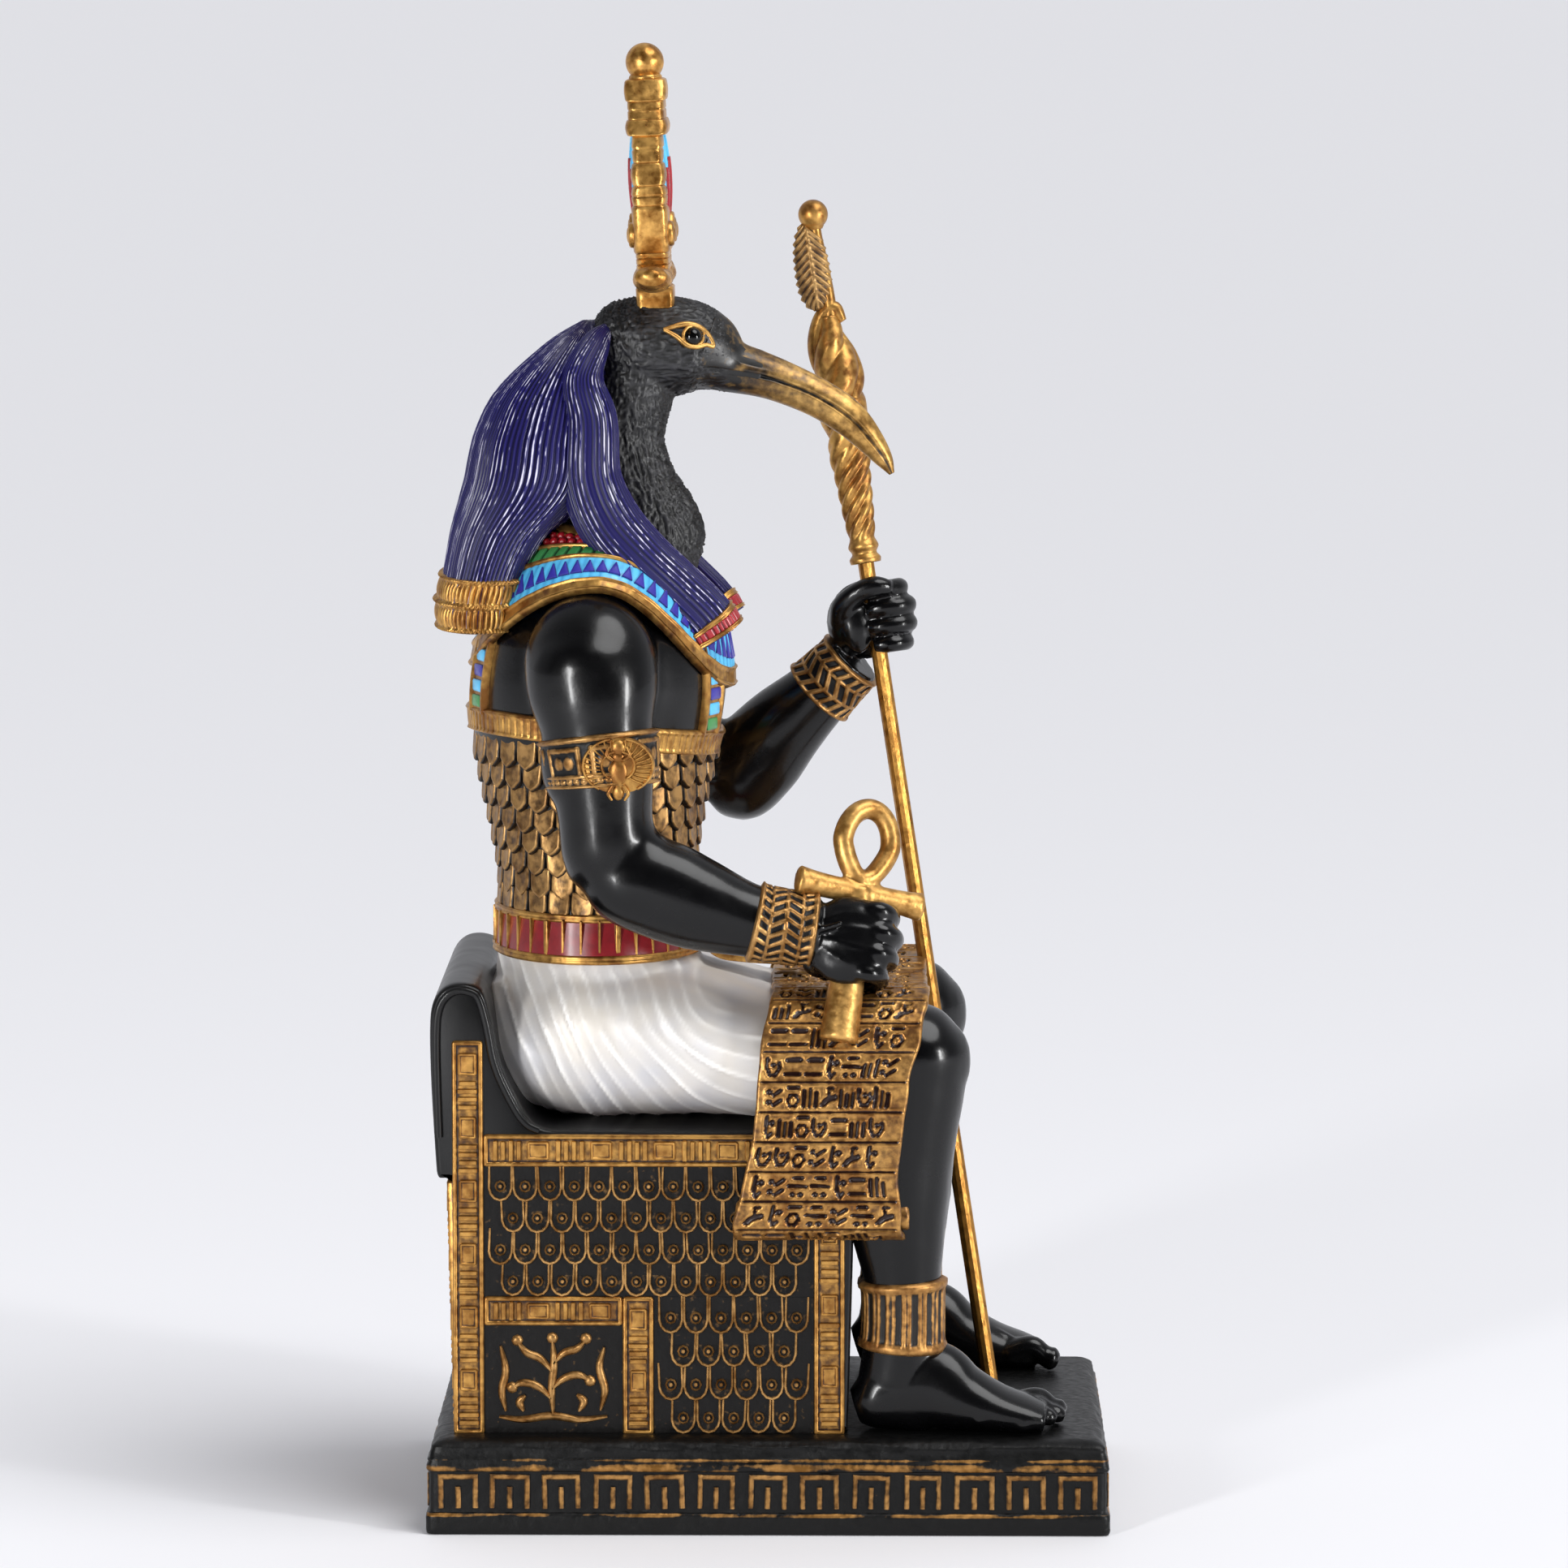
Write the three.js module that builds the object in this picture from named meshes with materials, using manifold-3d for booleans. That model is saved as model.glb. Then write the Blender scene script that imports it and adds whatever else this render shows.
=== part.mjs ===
// Seated ibis-headed scribe god: a painted resin figurine on its throne and plinth.
// Millimetres, +Z up. The figure faces +X and its right hand is on the -Y side.
// The origin is the centre of the plinth's underside.
import * as THREE from "three";
import { mergeVertices } from "three/addons/utils/BufferGeometryUtils.js";
import Module from "manifold-3d";

const wasm = await Module();
wasm.setup();

// Driving dimensions

const plinthLength = 138.5;
const plinthWidth = 90;
const plinthHeight = 19.5;
const plinthStep = 0.7; // how far the band and the upper tier stand back
const bandBottom = 4.4;
const bandTop = 13;
const mouldingHeight = 2.4; // of the bead over the band
const bevelHeight = 2.6;
const bevelRun = 4;

const throneWidth = 73;
const stripProud = 0.8; // raised frame strips on the throne's sides
const scaleProud = 0.45;
const scalePitch = 7.6;
const scaleRows = 3;
const seatHeight = 61.8; // over the plinth
const backHeight = 92; // over the plinth

const figureHeight = 227.7; // crown of the head over the soles
const clearance = 0.35; // between pieces that are fitted together
const rodRadius = 1.7;
const rodSocketDepth = 3;
const headSocketDepth = 6;
const staffBallRadius = 3.1;
const staffWall = 1.1; // of the cast head round the rod
const ankhThickness = 4.4;
const ankhBar = 4.8;
const ankhFlare = 0.7; // how much higher the crossbar's ends are, above and below
const ankhSpan = 27.6;
const ankhTail = 31; // below the crossbar
const ankhTailTop = 2.6;
const ankhTailEnd = 4.1; // radius of the flared end
const ankhLoopBar = 2.1; // half the loop's own width
const ankhLoopWidth = 5.2; // half the loop's centreline across
const ankhLoopHeight = 7.4;
const ankhLoopRise = 10.2; // its middle over the crossbar
const ankhMiddle = 10.6; // the crossbar over the middle of the fist
const crownFootDepth = 2;
const crownFootLength = 7.8; // fore and aft
const crownFootWidth = 12;
const crownThickness = 7.2;
const crownDiscs = 11.2; // over the discs, fore and aft

// The figure's pose and anatomy are drawn at this height and follow its own height.
const drawnHeight = 227.7;
const grown = figureHeight / drawnHeight;

// Geometry helpers

const clamp = (v, low, high) => Math.min(high, Math.max(low, v));

// A closed solid from any closed three.js geometry.
function solid(geometry) {
  const bare = geometry.clone();
  bare.deleteAttribute("normal");
  bare.deleteAttribute("uv");
  const merged = mergeVertices(bare, 1e-4);
  const make = (triVerts) =>
    new wasm.Manifold(
      new wasm.Mesh({
        numProp: 3,
        vertProperties: new Float32Array(merged.attributes.position.array),
        triVerts,
      }),
    );
  const faces = new Uint32Array(merged.index.array);
  const made = make(faces);
  if (made.volume() > 0) return made;
  return make(faces.map((_, i) => merged.index.array[i - (i % 3) + (2 - (i % 3))]));
}

const join = (solids) => solids.reduce((all, next) => all.add(next));

// The same solid with any sealed pocket between overlapping pieces filled in.
const filled = (made) => join(made.decompose().filter((part) => part.volume() > 0));

// A capped cylinder whose every point is moved by place(along 0..1, angle, reach 0 or 1).
function shaped(sides, rows, place) {
  const geometry = new THREE.CylinderGeometry(1, 1, 1, sides, rows);
  const at = geometry.attributes.position;
  for (let i = 0; i < at.count; i++) {
    const reach = Math.hypot(at.getX(i), at.getZ(i)) > 0.5 ? 1 : 0;
    const p = place(at.getY(i) + 0.5, Math.atan2(at.getZ(i), at.getX(i)), reach);
    at.setXYZ(i, p.x, p.y, p.z);
  }
  return solid(geometry);
}

// Corner of a rounded box outline: power 2 is an ellipse, more is squarer.
function round(angle, power) {
  const bend = (v) => Math.sign(v) * Math.abs(v) ** (2 / power);
  return [bend(Math.cos(angle)), bend(Math.sin(angle))];
}

// Smooth values between rows of [position, value, value...].
function between(rows) {
  const width = rows[0].length - 1;
  const curve = new THREE.CubicInterpolant(
    rows.map((row) => row[0]),
    rows.flatMap((row) => row.slice(1)),
    width,
  );
  return (position) => Array.from(curve.evaluate(position)).slice(0, width);
}

// A limb along stations of [x, y, z, half thickness, half width]; the width lies across the body.
function limb(stations, { sides = 8, rows = 1, from = 0, to = 1, proud = 0, power = 2 } = {}) {
  const path = new THREE.CatmullRomCurve3(
    stations.map(([x, y, z]) => new THREE.Vector3(x, y, z)),
  );
  const sizes = between(stations.map((s, i) => [i / (stations.length - 1), s[3], s[4]]));
  const count = Math.max(1, Math.round(rows * (stations.length - 1) * (to - from)));
  return shaped(sides, count, (along, angle, reach) => {
    const t = from + (to - from) * along;
    const [thick, wide] = sizes(t);
    const forward = path.getTangent(t);
    const across = new THREE.Vector3(0, 1, 0).projectOnPlane(forward).normalize();
    const up = forward.clone().cross(across);
    const [c, s] = round(angle, power);
    return path
      .getPoint(t)
      .addScaledVector(up, c * reach * (thick + proud))
      .addScaledVector(across, s * reach * (wide + proud));
  });
}

// A body stacked in level slices of [z, x of centre, half depth, half width], between two heights
// that may depend on the angle (0 is the front).
function stack(slices, low, high, { sides = 16, rows = 7, proud = 0, power = 2 } = {}) {
  const slice = between(slices);
  return shaped(sides, rows, (along, angle, reach) => {
    const z = low(angle) + (high(angle) - low(angle)) * along;
    const [x, deep, wide] = slice(z);
    const [c, s] = round(angle, power);
    return new THREE.Vector3(
      x + c * reach * (deep + proud),
      s * reach * (wide + proud),
      z,
    );
  });
}

const level = (z) => () => z;

// A flat outline of [x, z] points in the figure's side view, as thick as width in Y.
function sidePlate(points, y, width) {
  const shape = new THREE.Shape(points.map(([x, z]) => new THREE.Vector2(x, z)));
  const geometry = new THREE.ExtrudeGeometry(shape, { depth: width, bevelEnabled: false });
  geometry.rotateX(Math.PI / 2);
  geometry.translate(0, y + width / 2, 0);
  return solid(geometry);
}

function box(x0, x1, y0, y1, z0, z1) {
  const geometry = new THREE.BoxGeometry(x1 - x0, y1 - y0, z1 - z0);
  geometry.translate((x0 + x1) / 2, (y0 + y1) / 2, (z0 + z1) / 2);
  return solid(geometry);
}

function ball(radius, x, y, z, sides = 10) {
  const geometry = new THREE.SphereGeometry(radius, sides, Math.round(sides * 0.6));
  geometry.translate(x, y, z);
  return solid(geometry);
}

// Plinth: a plain foot, a sunk band under a moulding, and a bevelled upper tier

function plinth() {
  const halfLength = plinthLength / 2;
  const halfWidth = plinthWidth / 2;
  const tierTop = plinthHeight - bevelHeight;
  const tier = (back, z0, z1) =>
    box(back - halfLength, halfLength - back, back - halfWidth, halfWidth - back, z0, z1);
  const bevel = (along, angle, reach) => {
    const corner = angle + Math.PI / 4;
    const back = plinthStep + bevelRun * (1 - Math.cos((along * Math.PI) / 2));
    return new THREE.Vector3(
      Math.sign(Math.cos(corner)) * reach * (halfLength - back),
      Math.sign(Math.sin(corner)) * reach * (halfWidth - back),
      tierTop + bevelHeight * Math.sin((along * Math.PI) / 2),
    );
  };
  return join([
    tier(0, 0, bandBottom),
    tier(plinthStep, 0, tierTop),
    tier(plinthStep / 2, bandTop, bandTop + mouldingHeight),
    shaped(4, 3, bevel),
  ]);
}

// Throne: a block with a rolled back under a hanging cover, raised frame strips and feather rows

const throneRear = -62.5;
const throneFront = 16.5;
const coverDrop = 52; // the cover's lower edge behind the back, over the plinth
const coverThickness = 3.4;
const postWidth = 6.3;
const railWidth = 6.6;
const innerRailTop = 28;
const innerPostFront = -23.2;

function throneBlock() {
  const back = throneRear - coverThickness - 2;
  return sidePlate(
    [
      [throneRear, -0.5],
      [throneRear - 1.4, coverDrop],
      [back + 1, coverDrop],
      [back - 0.2, coverDrop + 20],
      [back - 0.4, backHeight - 8],
      [back + 0.3, backHeight - 3.6],
      [back + 2.6, backHeight - 0.8],
      [back + 5.6, backHeight],
      [back + 8.8, backHeight - 0.6],
      [back + 10.8, backHeight - 2],
      [back + 12.5, backHeight - 9],
      [back + 13.6, backHeight - 16],
      [back + 16.4, seatHeight + 8],
      [back + 19.6, seatHeight + 2],
      [back + 23, seatHeight],
      [throneFront + 1.5, seatHeight],
      [throneFront + 1, seatHeight - 21],
      [throneFront - 0.5, -0.5],
    ],
    0,
    throneWidth,
  );
}

// One row of hanging feather scales as a strip with a scalloped lower edge.
function scaleRow(x0, x1, low, high, side, shift) {
  const pitch = scalePitch;
  const count = Math.max(1, Math.round((x1 - x0) / pitch));
  const step = (x1 - x0) / count;
  const points = [
    [x0, high],
    [x0, low + 1.4],
  ];
  for (let i = 0; i < count; i++) {
    const middle = x0 + (i + 0.5 + shift) * step;
    if (middle > x0 + 0.5 && middle < x1 - 0.5) points.push([middle, low]);
    const end = middle + step / 2;
    if (end < x1 - 0.5) points.push([end, low + 1.6]);
  }
  points.push([x1, low + 1.4], [x1, high]);
  return sidePlate(points, (side * throneWidth) / 2, scaleProud * 2);
}

function throne() {
  const strips = [];
  const frame = (x0, x1, z0, z1) => {
    for (const side of [-1, 1]) {
      const y = (side * throneWidth) / 2;
      strips.push(box(x0, x1, y - stripProud, y + stripProud, z0, z1));
    }
  };
  const rear = throneRear;
  frame(rear - 1.3, rear - 1.3 + postWidth, -0.5, 80.5);
  frame(throneFront - 1 - postWidth, throneFront - 1, -0.5, seatHeight);
  frame(rear + 4, throneFront - 1, seatHeight - railWidth - 0.6, seatHeight - 0.6);
  frame(rear + 4, innerPostFront, innerRailTop - railWidth + 0.6, innerRailTop);
  frame(innerPostFront - postWidth, innerPostFront, -0.5, innerRailTop);
  const rows = [];
  const upperTop = seatHeight - railWidth - 0.8;
  const upperRow = (upperTop - innerRailTop) / scaleRows;
  const lowerRow = (innerRailTop - 0.6) / scaleRows;
  const left = rear - 1.3 + postWidth;
  const right = throneFront - 1 - postWidth;
  for (const side of [-1, 1]) {
    for (let i = 0; i < scaleRows; i++) {
      const high = upperTop - i * upperRow;
      rows.push(scaleRow(left, right, high - upperRow + 1, high, side, i % 2 ? -0.5 : 0));
    }
    for (let i = 0; i < scaleRows; i++) {
      const high = innerRailTop - i * lowerRow;
      rows.push(scaleRow(innerPostFront, right, high - lowerRow + 1, high, side, i % 2 ? -0.5 : 0));
    }
  }
  const backStrip = (y0, y1, z0, z1) =>
    box(rear - 1.6, rear + 2, y0, y1, z0, z1);
  const half = throneWidth / 2;
  strips.push(
    backStrip(-half - stripProud, -half + postWidth, -0.5, coverDrop + 1),
    backStrip(half - postWidth, half + stripProud, -0.5, coverDrop + 1),
    backStrip(-half, half, -0.5, 6),
  );
  return join([throneBlock(), ...strips, ...rows]);
}

// Body: slices and stations are over the soles

const torsoSlices = [
  [88, -35, 20.5, 27],
  [96, -35.4, 20.6, 26],
  [103.5, -35.3, 20.3, 24.6],
  [112, -35.6, 20, 24.2],
  [121.5, -35.9, 21.3, 25.6],
  [132.5, -35.9, 23.6, 28],
  [142.5, -35.5, 25.7, 30],
  [152.5, -35, 25.8, 30.5],
  [161.5, -35, 23.4, 29],
  [168.5, -35.5, 18.5, 23],
  [176, -34, 12.5, 14],
];

const kiltStations = [
  [-55.5, 0, 89, 5, 16],
  [-53.2, 0, 84, 12, 23.5],
  [-48, 0, 80, 15.8, 29.5],
  [-40, 0, 78.5, 17.3, 33],
  [-25, 0, 77.6, 16.4, 35.5],
  [-11, 0, 75.9, 14.3, 37.5],
  [1, 0, 74.4, 12.8, 39.5],
  [19, 0, 74.2, 12.6, 41.5],
  [28, 0, 74.2, 11.6, 41.5],
];

const neckSlices = [
  [158, -32, 14, 13],
  [170, -29, 13, 12.8],
  [179.5, -26.8, 13.3, 12],
  [186.3, -27.6, 11.9, 11],
  [193.2, -30.5, 10.4, 10],
  [199.5, -31.8, 10, 9.8],
  [206, -30.5, 10.4, 9.8],
  [213, -27.5, 9.5, 9],
];

const headStations = [
  [-37, 0, 217, 3, 4],
  [-33.5, 0, 217.4, 8, 8],
  [-28, 0, 217.8, 10, 9.8],
  [-22, 0, 217.9, 10.2, 10],
  [-16.5, 0, 217.5, 9.7, 9.6],
  [-12.6, 0, 216.3, 8.3, 8],
  [-7.9, 0, 213.8, 5.5, 5.4],
  [-3, 0, 212.4, 4.7, 4.3],
  [1.5, 0, 210.9, 4.3, 3.7],
  [10, 0, 207.1, 3.9, 3.1],
  [16.1, 0, 203, 3.65, 2.7],
  [20.3, 0, 198.6, 2.85, 2.2],
  [23.3, 0, 194.6, 1.8, 1.5],
  [24.8, 0, 191.9, 0.6, 0.6],
];

const wigSlices = [
  [161, -59, 8.3, 22.5],
  [165, -58.8, 9, 22.8],
  [172, -57.4, 9.1, 23],
  [180, -54.5, 10.6, 23.3],
  [190.5, -48, 14.3, 22.6],
  [201, -46.2, 13.6, 20],
  [208.5, -44.3, 11.6, 17],
  [216, -41, 7.6, 12.5],
  [220.5, -38.5, 4.6, 7.5],
  [223.3, -37, 1.5, 2.5],
];

const lappetStations = [
  [-38, -12.5, 212, 4, 4.5],
  [-36.4, -14.6, 204, 5.2, 5],
  [-36, -16.4, 192, 5.8, 5.6],
  [-32.5, -17.2, 183.5, 6.2, 6],
  [-26.5, -16.8, 176.3, 6, 6],
  [-19.3, -15.4, 169.2, 6, 5.4],
  [-13.4, -14.4, 163, 6.2, 5],
  [-11.2, -14, 159.6, 6, 4.6],
];

const rightArm = [
  [-36, -21, 164.5, 7, 7],
  [-36, -27.5, 160, 12.6, 10.4],
  [-35.4, -31.2, 151.5, 13.4, 11.6],
  [-34.3, -32.8, 142.5, 11.3, 10.3],
  [-33.3, -33.4, 133.5, 10.4, 9.7],
  [-32.8, -34, 125.5, 9.6, 9.3],
  [-31.8, -34.4, 116.5, 9.2, 8.8],
  [-31, -34.5, 111.5, 6, 6],
];

const rightForearm = [
  [-36.5, -34.5, 116.5, 4, 5],
  [-31, -34.6, 114, 8.8, 8.6],
  [-22, -34.8, 111, 10.2, 9.2],
  [-13.5, -34.6, 107.6, 9.4, 8.9],
  [-3.1, -34.2, 104.3, 7.4, 7.3],
  [9.8, -33.6, 102.3, 6.8, 6.8],
];

const leftArm = [
  [-36, 21, 164.5, 7, 7],
  [-36, 27.5, 160, 12.6, 10.4],
  [-34, 31.4, 151.5, 12.8, 11],
  [-28, 33, 141.5, 10.8, 10],
  [-19, 34, 131.5, 10, 9.4],
  [-12, 34, 125, 9, 8.8],
];

const leftForearm = [
  [-13.5, 34, 120.5, 4, 5],
  [-9.5, 34, 123.3, 9, 8.6],
  [-4, 33, 129, 10, 9],
  [2, 31.4, 136, 9, 8.5],
  [9.4, 29.6, 143.3, 7.3, 7.2],
  [17, 27.6, 151.2, 6.4, 6.4],
];

const thighStations = [
  [-10, -27, 76, 12, 11.5],
  [10, -29.5, 76, 12, 11.5],
  [24, -30.5, 76, 12, 11.2],
  [31, -30.8, 76.6, 11.2, 10.6],
  [36, -30.9, 77.5, 8.6, 8.6],
  [39.4, -31, 78, 3.6, 4.6],
];

const shinStations = [
  [29, -31, 86.5, 4, 5],
  [29.2, -31, 80, 10.7, 10.2],
  [28.6, -31, 71.5, 11.3, 10.6],
  [27.4, -31, 63.5, 11.2, 10.4],
  [26.2, -31, 55.5, 11.2, 10.2],
  [25.8, -31.2, 46.5, 10.7, 9.8],
  [26.6, -31.4, 37.5, 9.1, 8.6],
  [27.2, -31.5, 30, 7.8, 7.6],
  [27.2, -31.5, 20, 7.7, 7.3],
  [26.6, -31.5, 10, 8.4, 7],
];

const footStations = [
  [17.6, -31.5, 4.5, 3.6, 4],
  [20.4, -31.5, 5.4, 5.8, 6],
  [26, -31.5, 7.8, 9, 6.8],
  [33, -31.8, 8.8, 9.4, 7.2],
  [40, -32, 6.2, 6.8, 7.8],
  [47, -32.2, 4.2, 4.8, 8],
  [53, -32.2, 3, 3.7, 7.6],
  [56, -32.2, 2.6, 2.8, 6.8],
];

const mirrored = (stations) => stations.map(([x, y, z, ...rest]) => [x, -y, z, ...rest]);

// Toes of the right foot, the big toe on the inner side.
function toes(side) {
  const tips = [60, 60.4, 59.6, 58.2, 56.6];
  return tips.map((tip, i) => {
    const y = -26.6 - i * 2.95;
    const r = i ? 1.65 : 2.3;
    const stations = [
      [51, y, 3, r, r],
      [tip - 2, y, 2, r, r],
      [tip, y, 1.4, r * 0.5, r * 0.5],
    ];
    return limb(side < 0 ? stations : mirrored(stations), { sides: 5 });
  });
}

// Collar: a cape-like disc that rises over the shoulders and dips at the chest and back.
function collar() {
  const rim = (angle) => {
    const [c, s] = [Math.cos(angle), Math.sin(angle)];
    const lift = Math.abs(s) ** (c > 0 ? 3.2 : 1.8);
    const low = c > 0 ? 149 : 153;
    return new THREE.Vector3(-34.4 + 26.7 * c, 29.5 * s, low + (171 - low) * lift);
  };
  const throat = (angle) =>
    new THREE.Vector3(
      -31 + 14 * Math.cos(angle),
      14.5 * Math.sin(angle),
      178 - 6 * Math.cos(angle),
    );
  const thickness = 1.6;
  return shaped(14, 5, (along, angle, reach) => {
    const edge = rim(angle);
    const neck = throat(angle);
    const step = Math.round(along * 5);
    if (step === 0) {
      return new THREE.Vector3(-34 + 10 * Math.cos(angle) * reach, 10 * Math.sin(angle) * reach, 150);
    }
    if (step === 1) {
      edge.z -= thickness;
      edge.x += 1.5 * -Math.cos(angle);
      return edge;
    }
    const t = (step - 2) / 3;
    const bulge = 4.6 * Math.sin(Math.PI * t) ** 0.8;
    const p = edge.lerp(neck, t);
    p.z += bulge * 0.6;
    p.x += bulge * Math.cos(angle) * 0.5;
    if (!reach) return new THREE.Vector3(-31, 0, 178);
    return p;
  });
}

// A closed fist round a held bar. The palm side faces the body's middle.
function fist(centre, grip, side) {
  const up = grip.clone().normalize();
  const out = new THREE.Vector3(1, 0, 0).projectOnPlane(up).normalize();
  const back = new THREE.Vector3(0, side, 0).projectOnPlane(up);
  back.addScaledVector(out, -back.dot(out)).normalize();
  const at = (o, l, g) =>
    centre.clone().addScaledVector(out, o).addScaledVector(back, l).addScaledVector(up, g);
  const pieces = [];
  const tube = (points, radius) => {
    const stations = points.map(([o, l, g], i) => {
      const p = at(o, l, g);
      const r = i === 0 || i === points.length - 1 ? radius * 0.8 : radius;
      return [p.x, p.y, p.z, r, r];
    });
    return limb(stations, { sides: 5 });
  };
  for (let i = 0; i < 4; i++) {
    const g = 6.4 - i * 4.25;
    const r = i === 3 ? 1.95 : 2.1;
    pieces.push(
      tube([[-2.5, 5, g], [6.6, 4.8, g], [6.8, -3.2, g], [-1, -5, g]], r),
    );
  }
  pieces.push(tube([[-8, -2, 3], [-4.5, -5.2, 5.5], [0.5, -7, 6.6], [4.6, -6.6, 5]], 2.6));
  const palm = new THREE.SphereGeometry(1, 7, 4);
  const turn = new THREE.Matrix4().makeBasis(out, back, up);
  palm.scale(7.4, 5.2, 9.8).applyMatrix4(turn);
  palm.translate(...at(-3.8, 3.2, 0).toArray());
  pieces.push(solid(palm));
  const heel = new THREE.SphereGeometry(1, 6, 4);
  heel.scale(5, 5.6, 6.5).applyMatrix4(turn);
  heel.translate(...at(-6.6, -0.4, -0.5).toArray());
  pieces.push(solid(heel));
  return join(pieces);
}

// Scroll over both knees: a band in the front view, drawn out in X and slanted as it hangs.
const scrollOuter = [
  [43.9, 44.5],
  [44.4, 56],
  [44, 70],
  [42.2, 80],
  [38.4, 86.6],
  [31.6, 90],
  [20, 89.4],
  [8, 88.6],
];
const scrollThickness = 1.8;
const scrollRoll = 5.2; // radius of the roll at each hanging end
const scrollEdge = 44.2; // half the width over the rolls
const scrollRollHeight = 45.5;

function scroll() {
  const outer = [...scrollOuter, ...scrollOuter.map(([y, z]) => [-y, z]).reverse()];
  const inner = outer.map(([y, z], i) => {
    const before = outer[Math.max(0, i - 1)];
    const after = outer[Math.min(outer.length - 1, i + 1)];
    const along = new THREE.Vector2(after[0] - before[0], after[1] - before[1]).normalize();
    return [y - along.y * scrollThickness, z + along.x * scrollThickness];
  });
  const ring = [...outer, ...inner.reverse()];
  const shape = new THREE.Shape(ring.map(([y, z]) => new THREE.Vector2(y, z)));
  const band = new THREE.ExtrudeGeometry(shape, { depth: 1, bevelEnabled: false });
  const rolls = [-1, 1].map((s) => {
    const roll = new THREE.CylinderGeometry(scrollRoll, scrollRoll, 1, 10);
    roll.rotateX(Math.PI / 2);
    roll.translate(s * (scrollEdge - scrollRoll), scrollRollHeight, 0.5);
    return roll;
  });
  const hang = between([
    [38, -6.9, 24.4],
    [45, -6.4, 25.6],
    [60, -3.4, 26.8],
    [78, -1.6, 29.6],
    [86, -0.4, 31.6],
    [92, 1.6, 32.8],
  ]);
  const placed = (geometry) => {
    const at = geometry.attributes.position;
    for (let i = 0; i < at.count; i++) {
      const z = at.getY(i);
      const [x0, x1] = hang(z);
      at.setXYZ(i, x0 + (x1 - x0) * at.getZ(i), at.getX(i), z);
    }
    return solid(geometry);
  };
  return join([band, ...rolls].map(placed));
}

// Winged beetle on the outer side of the right armlet: a body over a pair of wings.
function beetle() {
  const flat = (halfLength, halfHeight, z) => {
    const geometry = new THREE.SphereGeometry(1, 6, 4);
    geometry.scale(halfLength, 1.5, halfHeight);
    geometry.translate(-29.8, -42.6, z);
    return solid(geometry);
  };
  return [flat(2.6, 3.8, 136), flat(6.2, 5.2, 136.6)];
}

const grip = {
  right: new THREE.Vector3(16.9, -33.8, 99.6),
  left: new THREE.Vector3(21.3, 26.1, 159.5),
};
const ankhUp = new THREE.Vector3(0.137, 0.35, 0.927).normalize();
const ankhAcross = new THREE.Vector3(0.91, 0.309, -0.274).projectOnPlane(ankhUp).normalize();
const rodFoot = new THREE.Vector3(45.8, 13, 0);
const rodTop = new THREE.Vector3(8.4, 33, 243.3);
const rodUp = rodTop.clone().sub(rodFoot).normalize();

// Bands that stand proud of what they go round, as shares of a limb or heights on a stack
const armlet = { proud: 1.3 };
const bracelet = { from: 0.8, to: 1, proud: 0.7 };
const anklet = { from: 0.765, to: 0.93, proud: 1.1 };
const lappetBand = { from: 0.87, to: 0.985, proud: 0.8 };
const belt = [94.6, 103.6];
const wigBand = [161.2, 171.8];
const bodiceBandWidth = 5;

// Upper edge of the bodice: it dips at the chest.
const bodiceEdge = (angle) => 139.5 + 2 * Math.abs(Math.sin(angle)) - 2.6 * Math.cos(angle);

// A proud ring round a stack between two heights.
const ring = (slices, [low, high], proud) =>
  stack(slices, level(low), level(high), { rows: 1, proud });

function body() {
  const halfBand = bodiceBandWidth / 2;
  const bodiceLow = (angle) => bodiceEdge(angle) - halfBand;
  const bodiceHigh = (angle) => bodiceEdge(angle) + halfBand;
  const lappet = { sides: 6, rows: 0.8, power: 2.6 };
  const legs = [];
  for (const mirror of [(s) => s, mirrored]) {
    legs.push(
      limb(mirror(thighStations)),
      limb(mirror(shinStations), { rows: 0.8 }),
      limb(mirror(footStations), { rows: 0.8 }),
      limb(mirror(shinStations), anklet),
      limb(mirror(lappetStations), lappet),
      limb(mirror(lappetStations), { ...lappet, ...lappetBand }),
    );
  }
  return join([
    stack(torsoSlices, level(88), level(165), { rows: 6 }),
    ring(torsoSlices, belt, 1.1),
    stack(torsoSlices, bodiceLow, bodiceHigh, { rows: 1, proud: 1 }),
    limb(kiltStations, { sides: 14, power: 2.7 }),
    stack(neckSlices, level(158), level(213), { sides: 10, rows: 5 }),
    limb(headStations),
    stack(wigSlices, level(161), level(223.3), { sides: 14, rows: 6, power: 2.2 }),
    ring(wigSlices, wigBand, 1),
    collar(),
    limb(rightArm),
    limb(rightForearm),
    limb(rightArm, { ...armlet, from: 0.435, to: 0.605 }),
    limb(rightForearm, bracelet),
    limb(leftArm),
    limb(leftForearm),
    limb(leftArm, { ...armlet, from: 0.5, to: 0.72 }),
    limb(leftForearm, bracelet),
    ...beetle(),
    fist(grip.right, ankhUp, -1),
    fist(grip.left, rodUp, 1),
    ...legs,
    ...toes(-1),
    ...toes(1),
    scroll(),
  ]);
}

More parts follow.
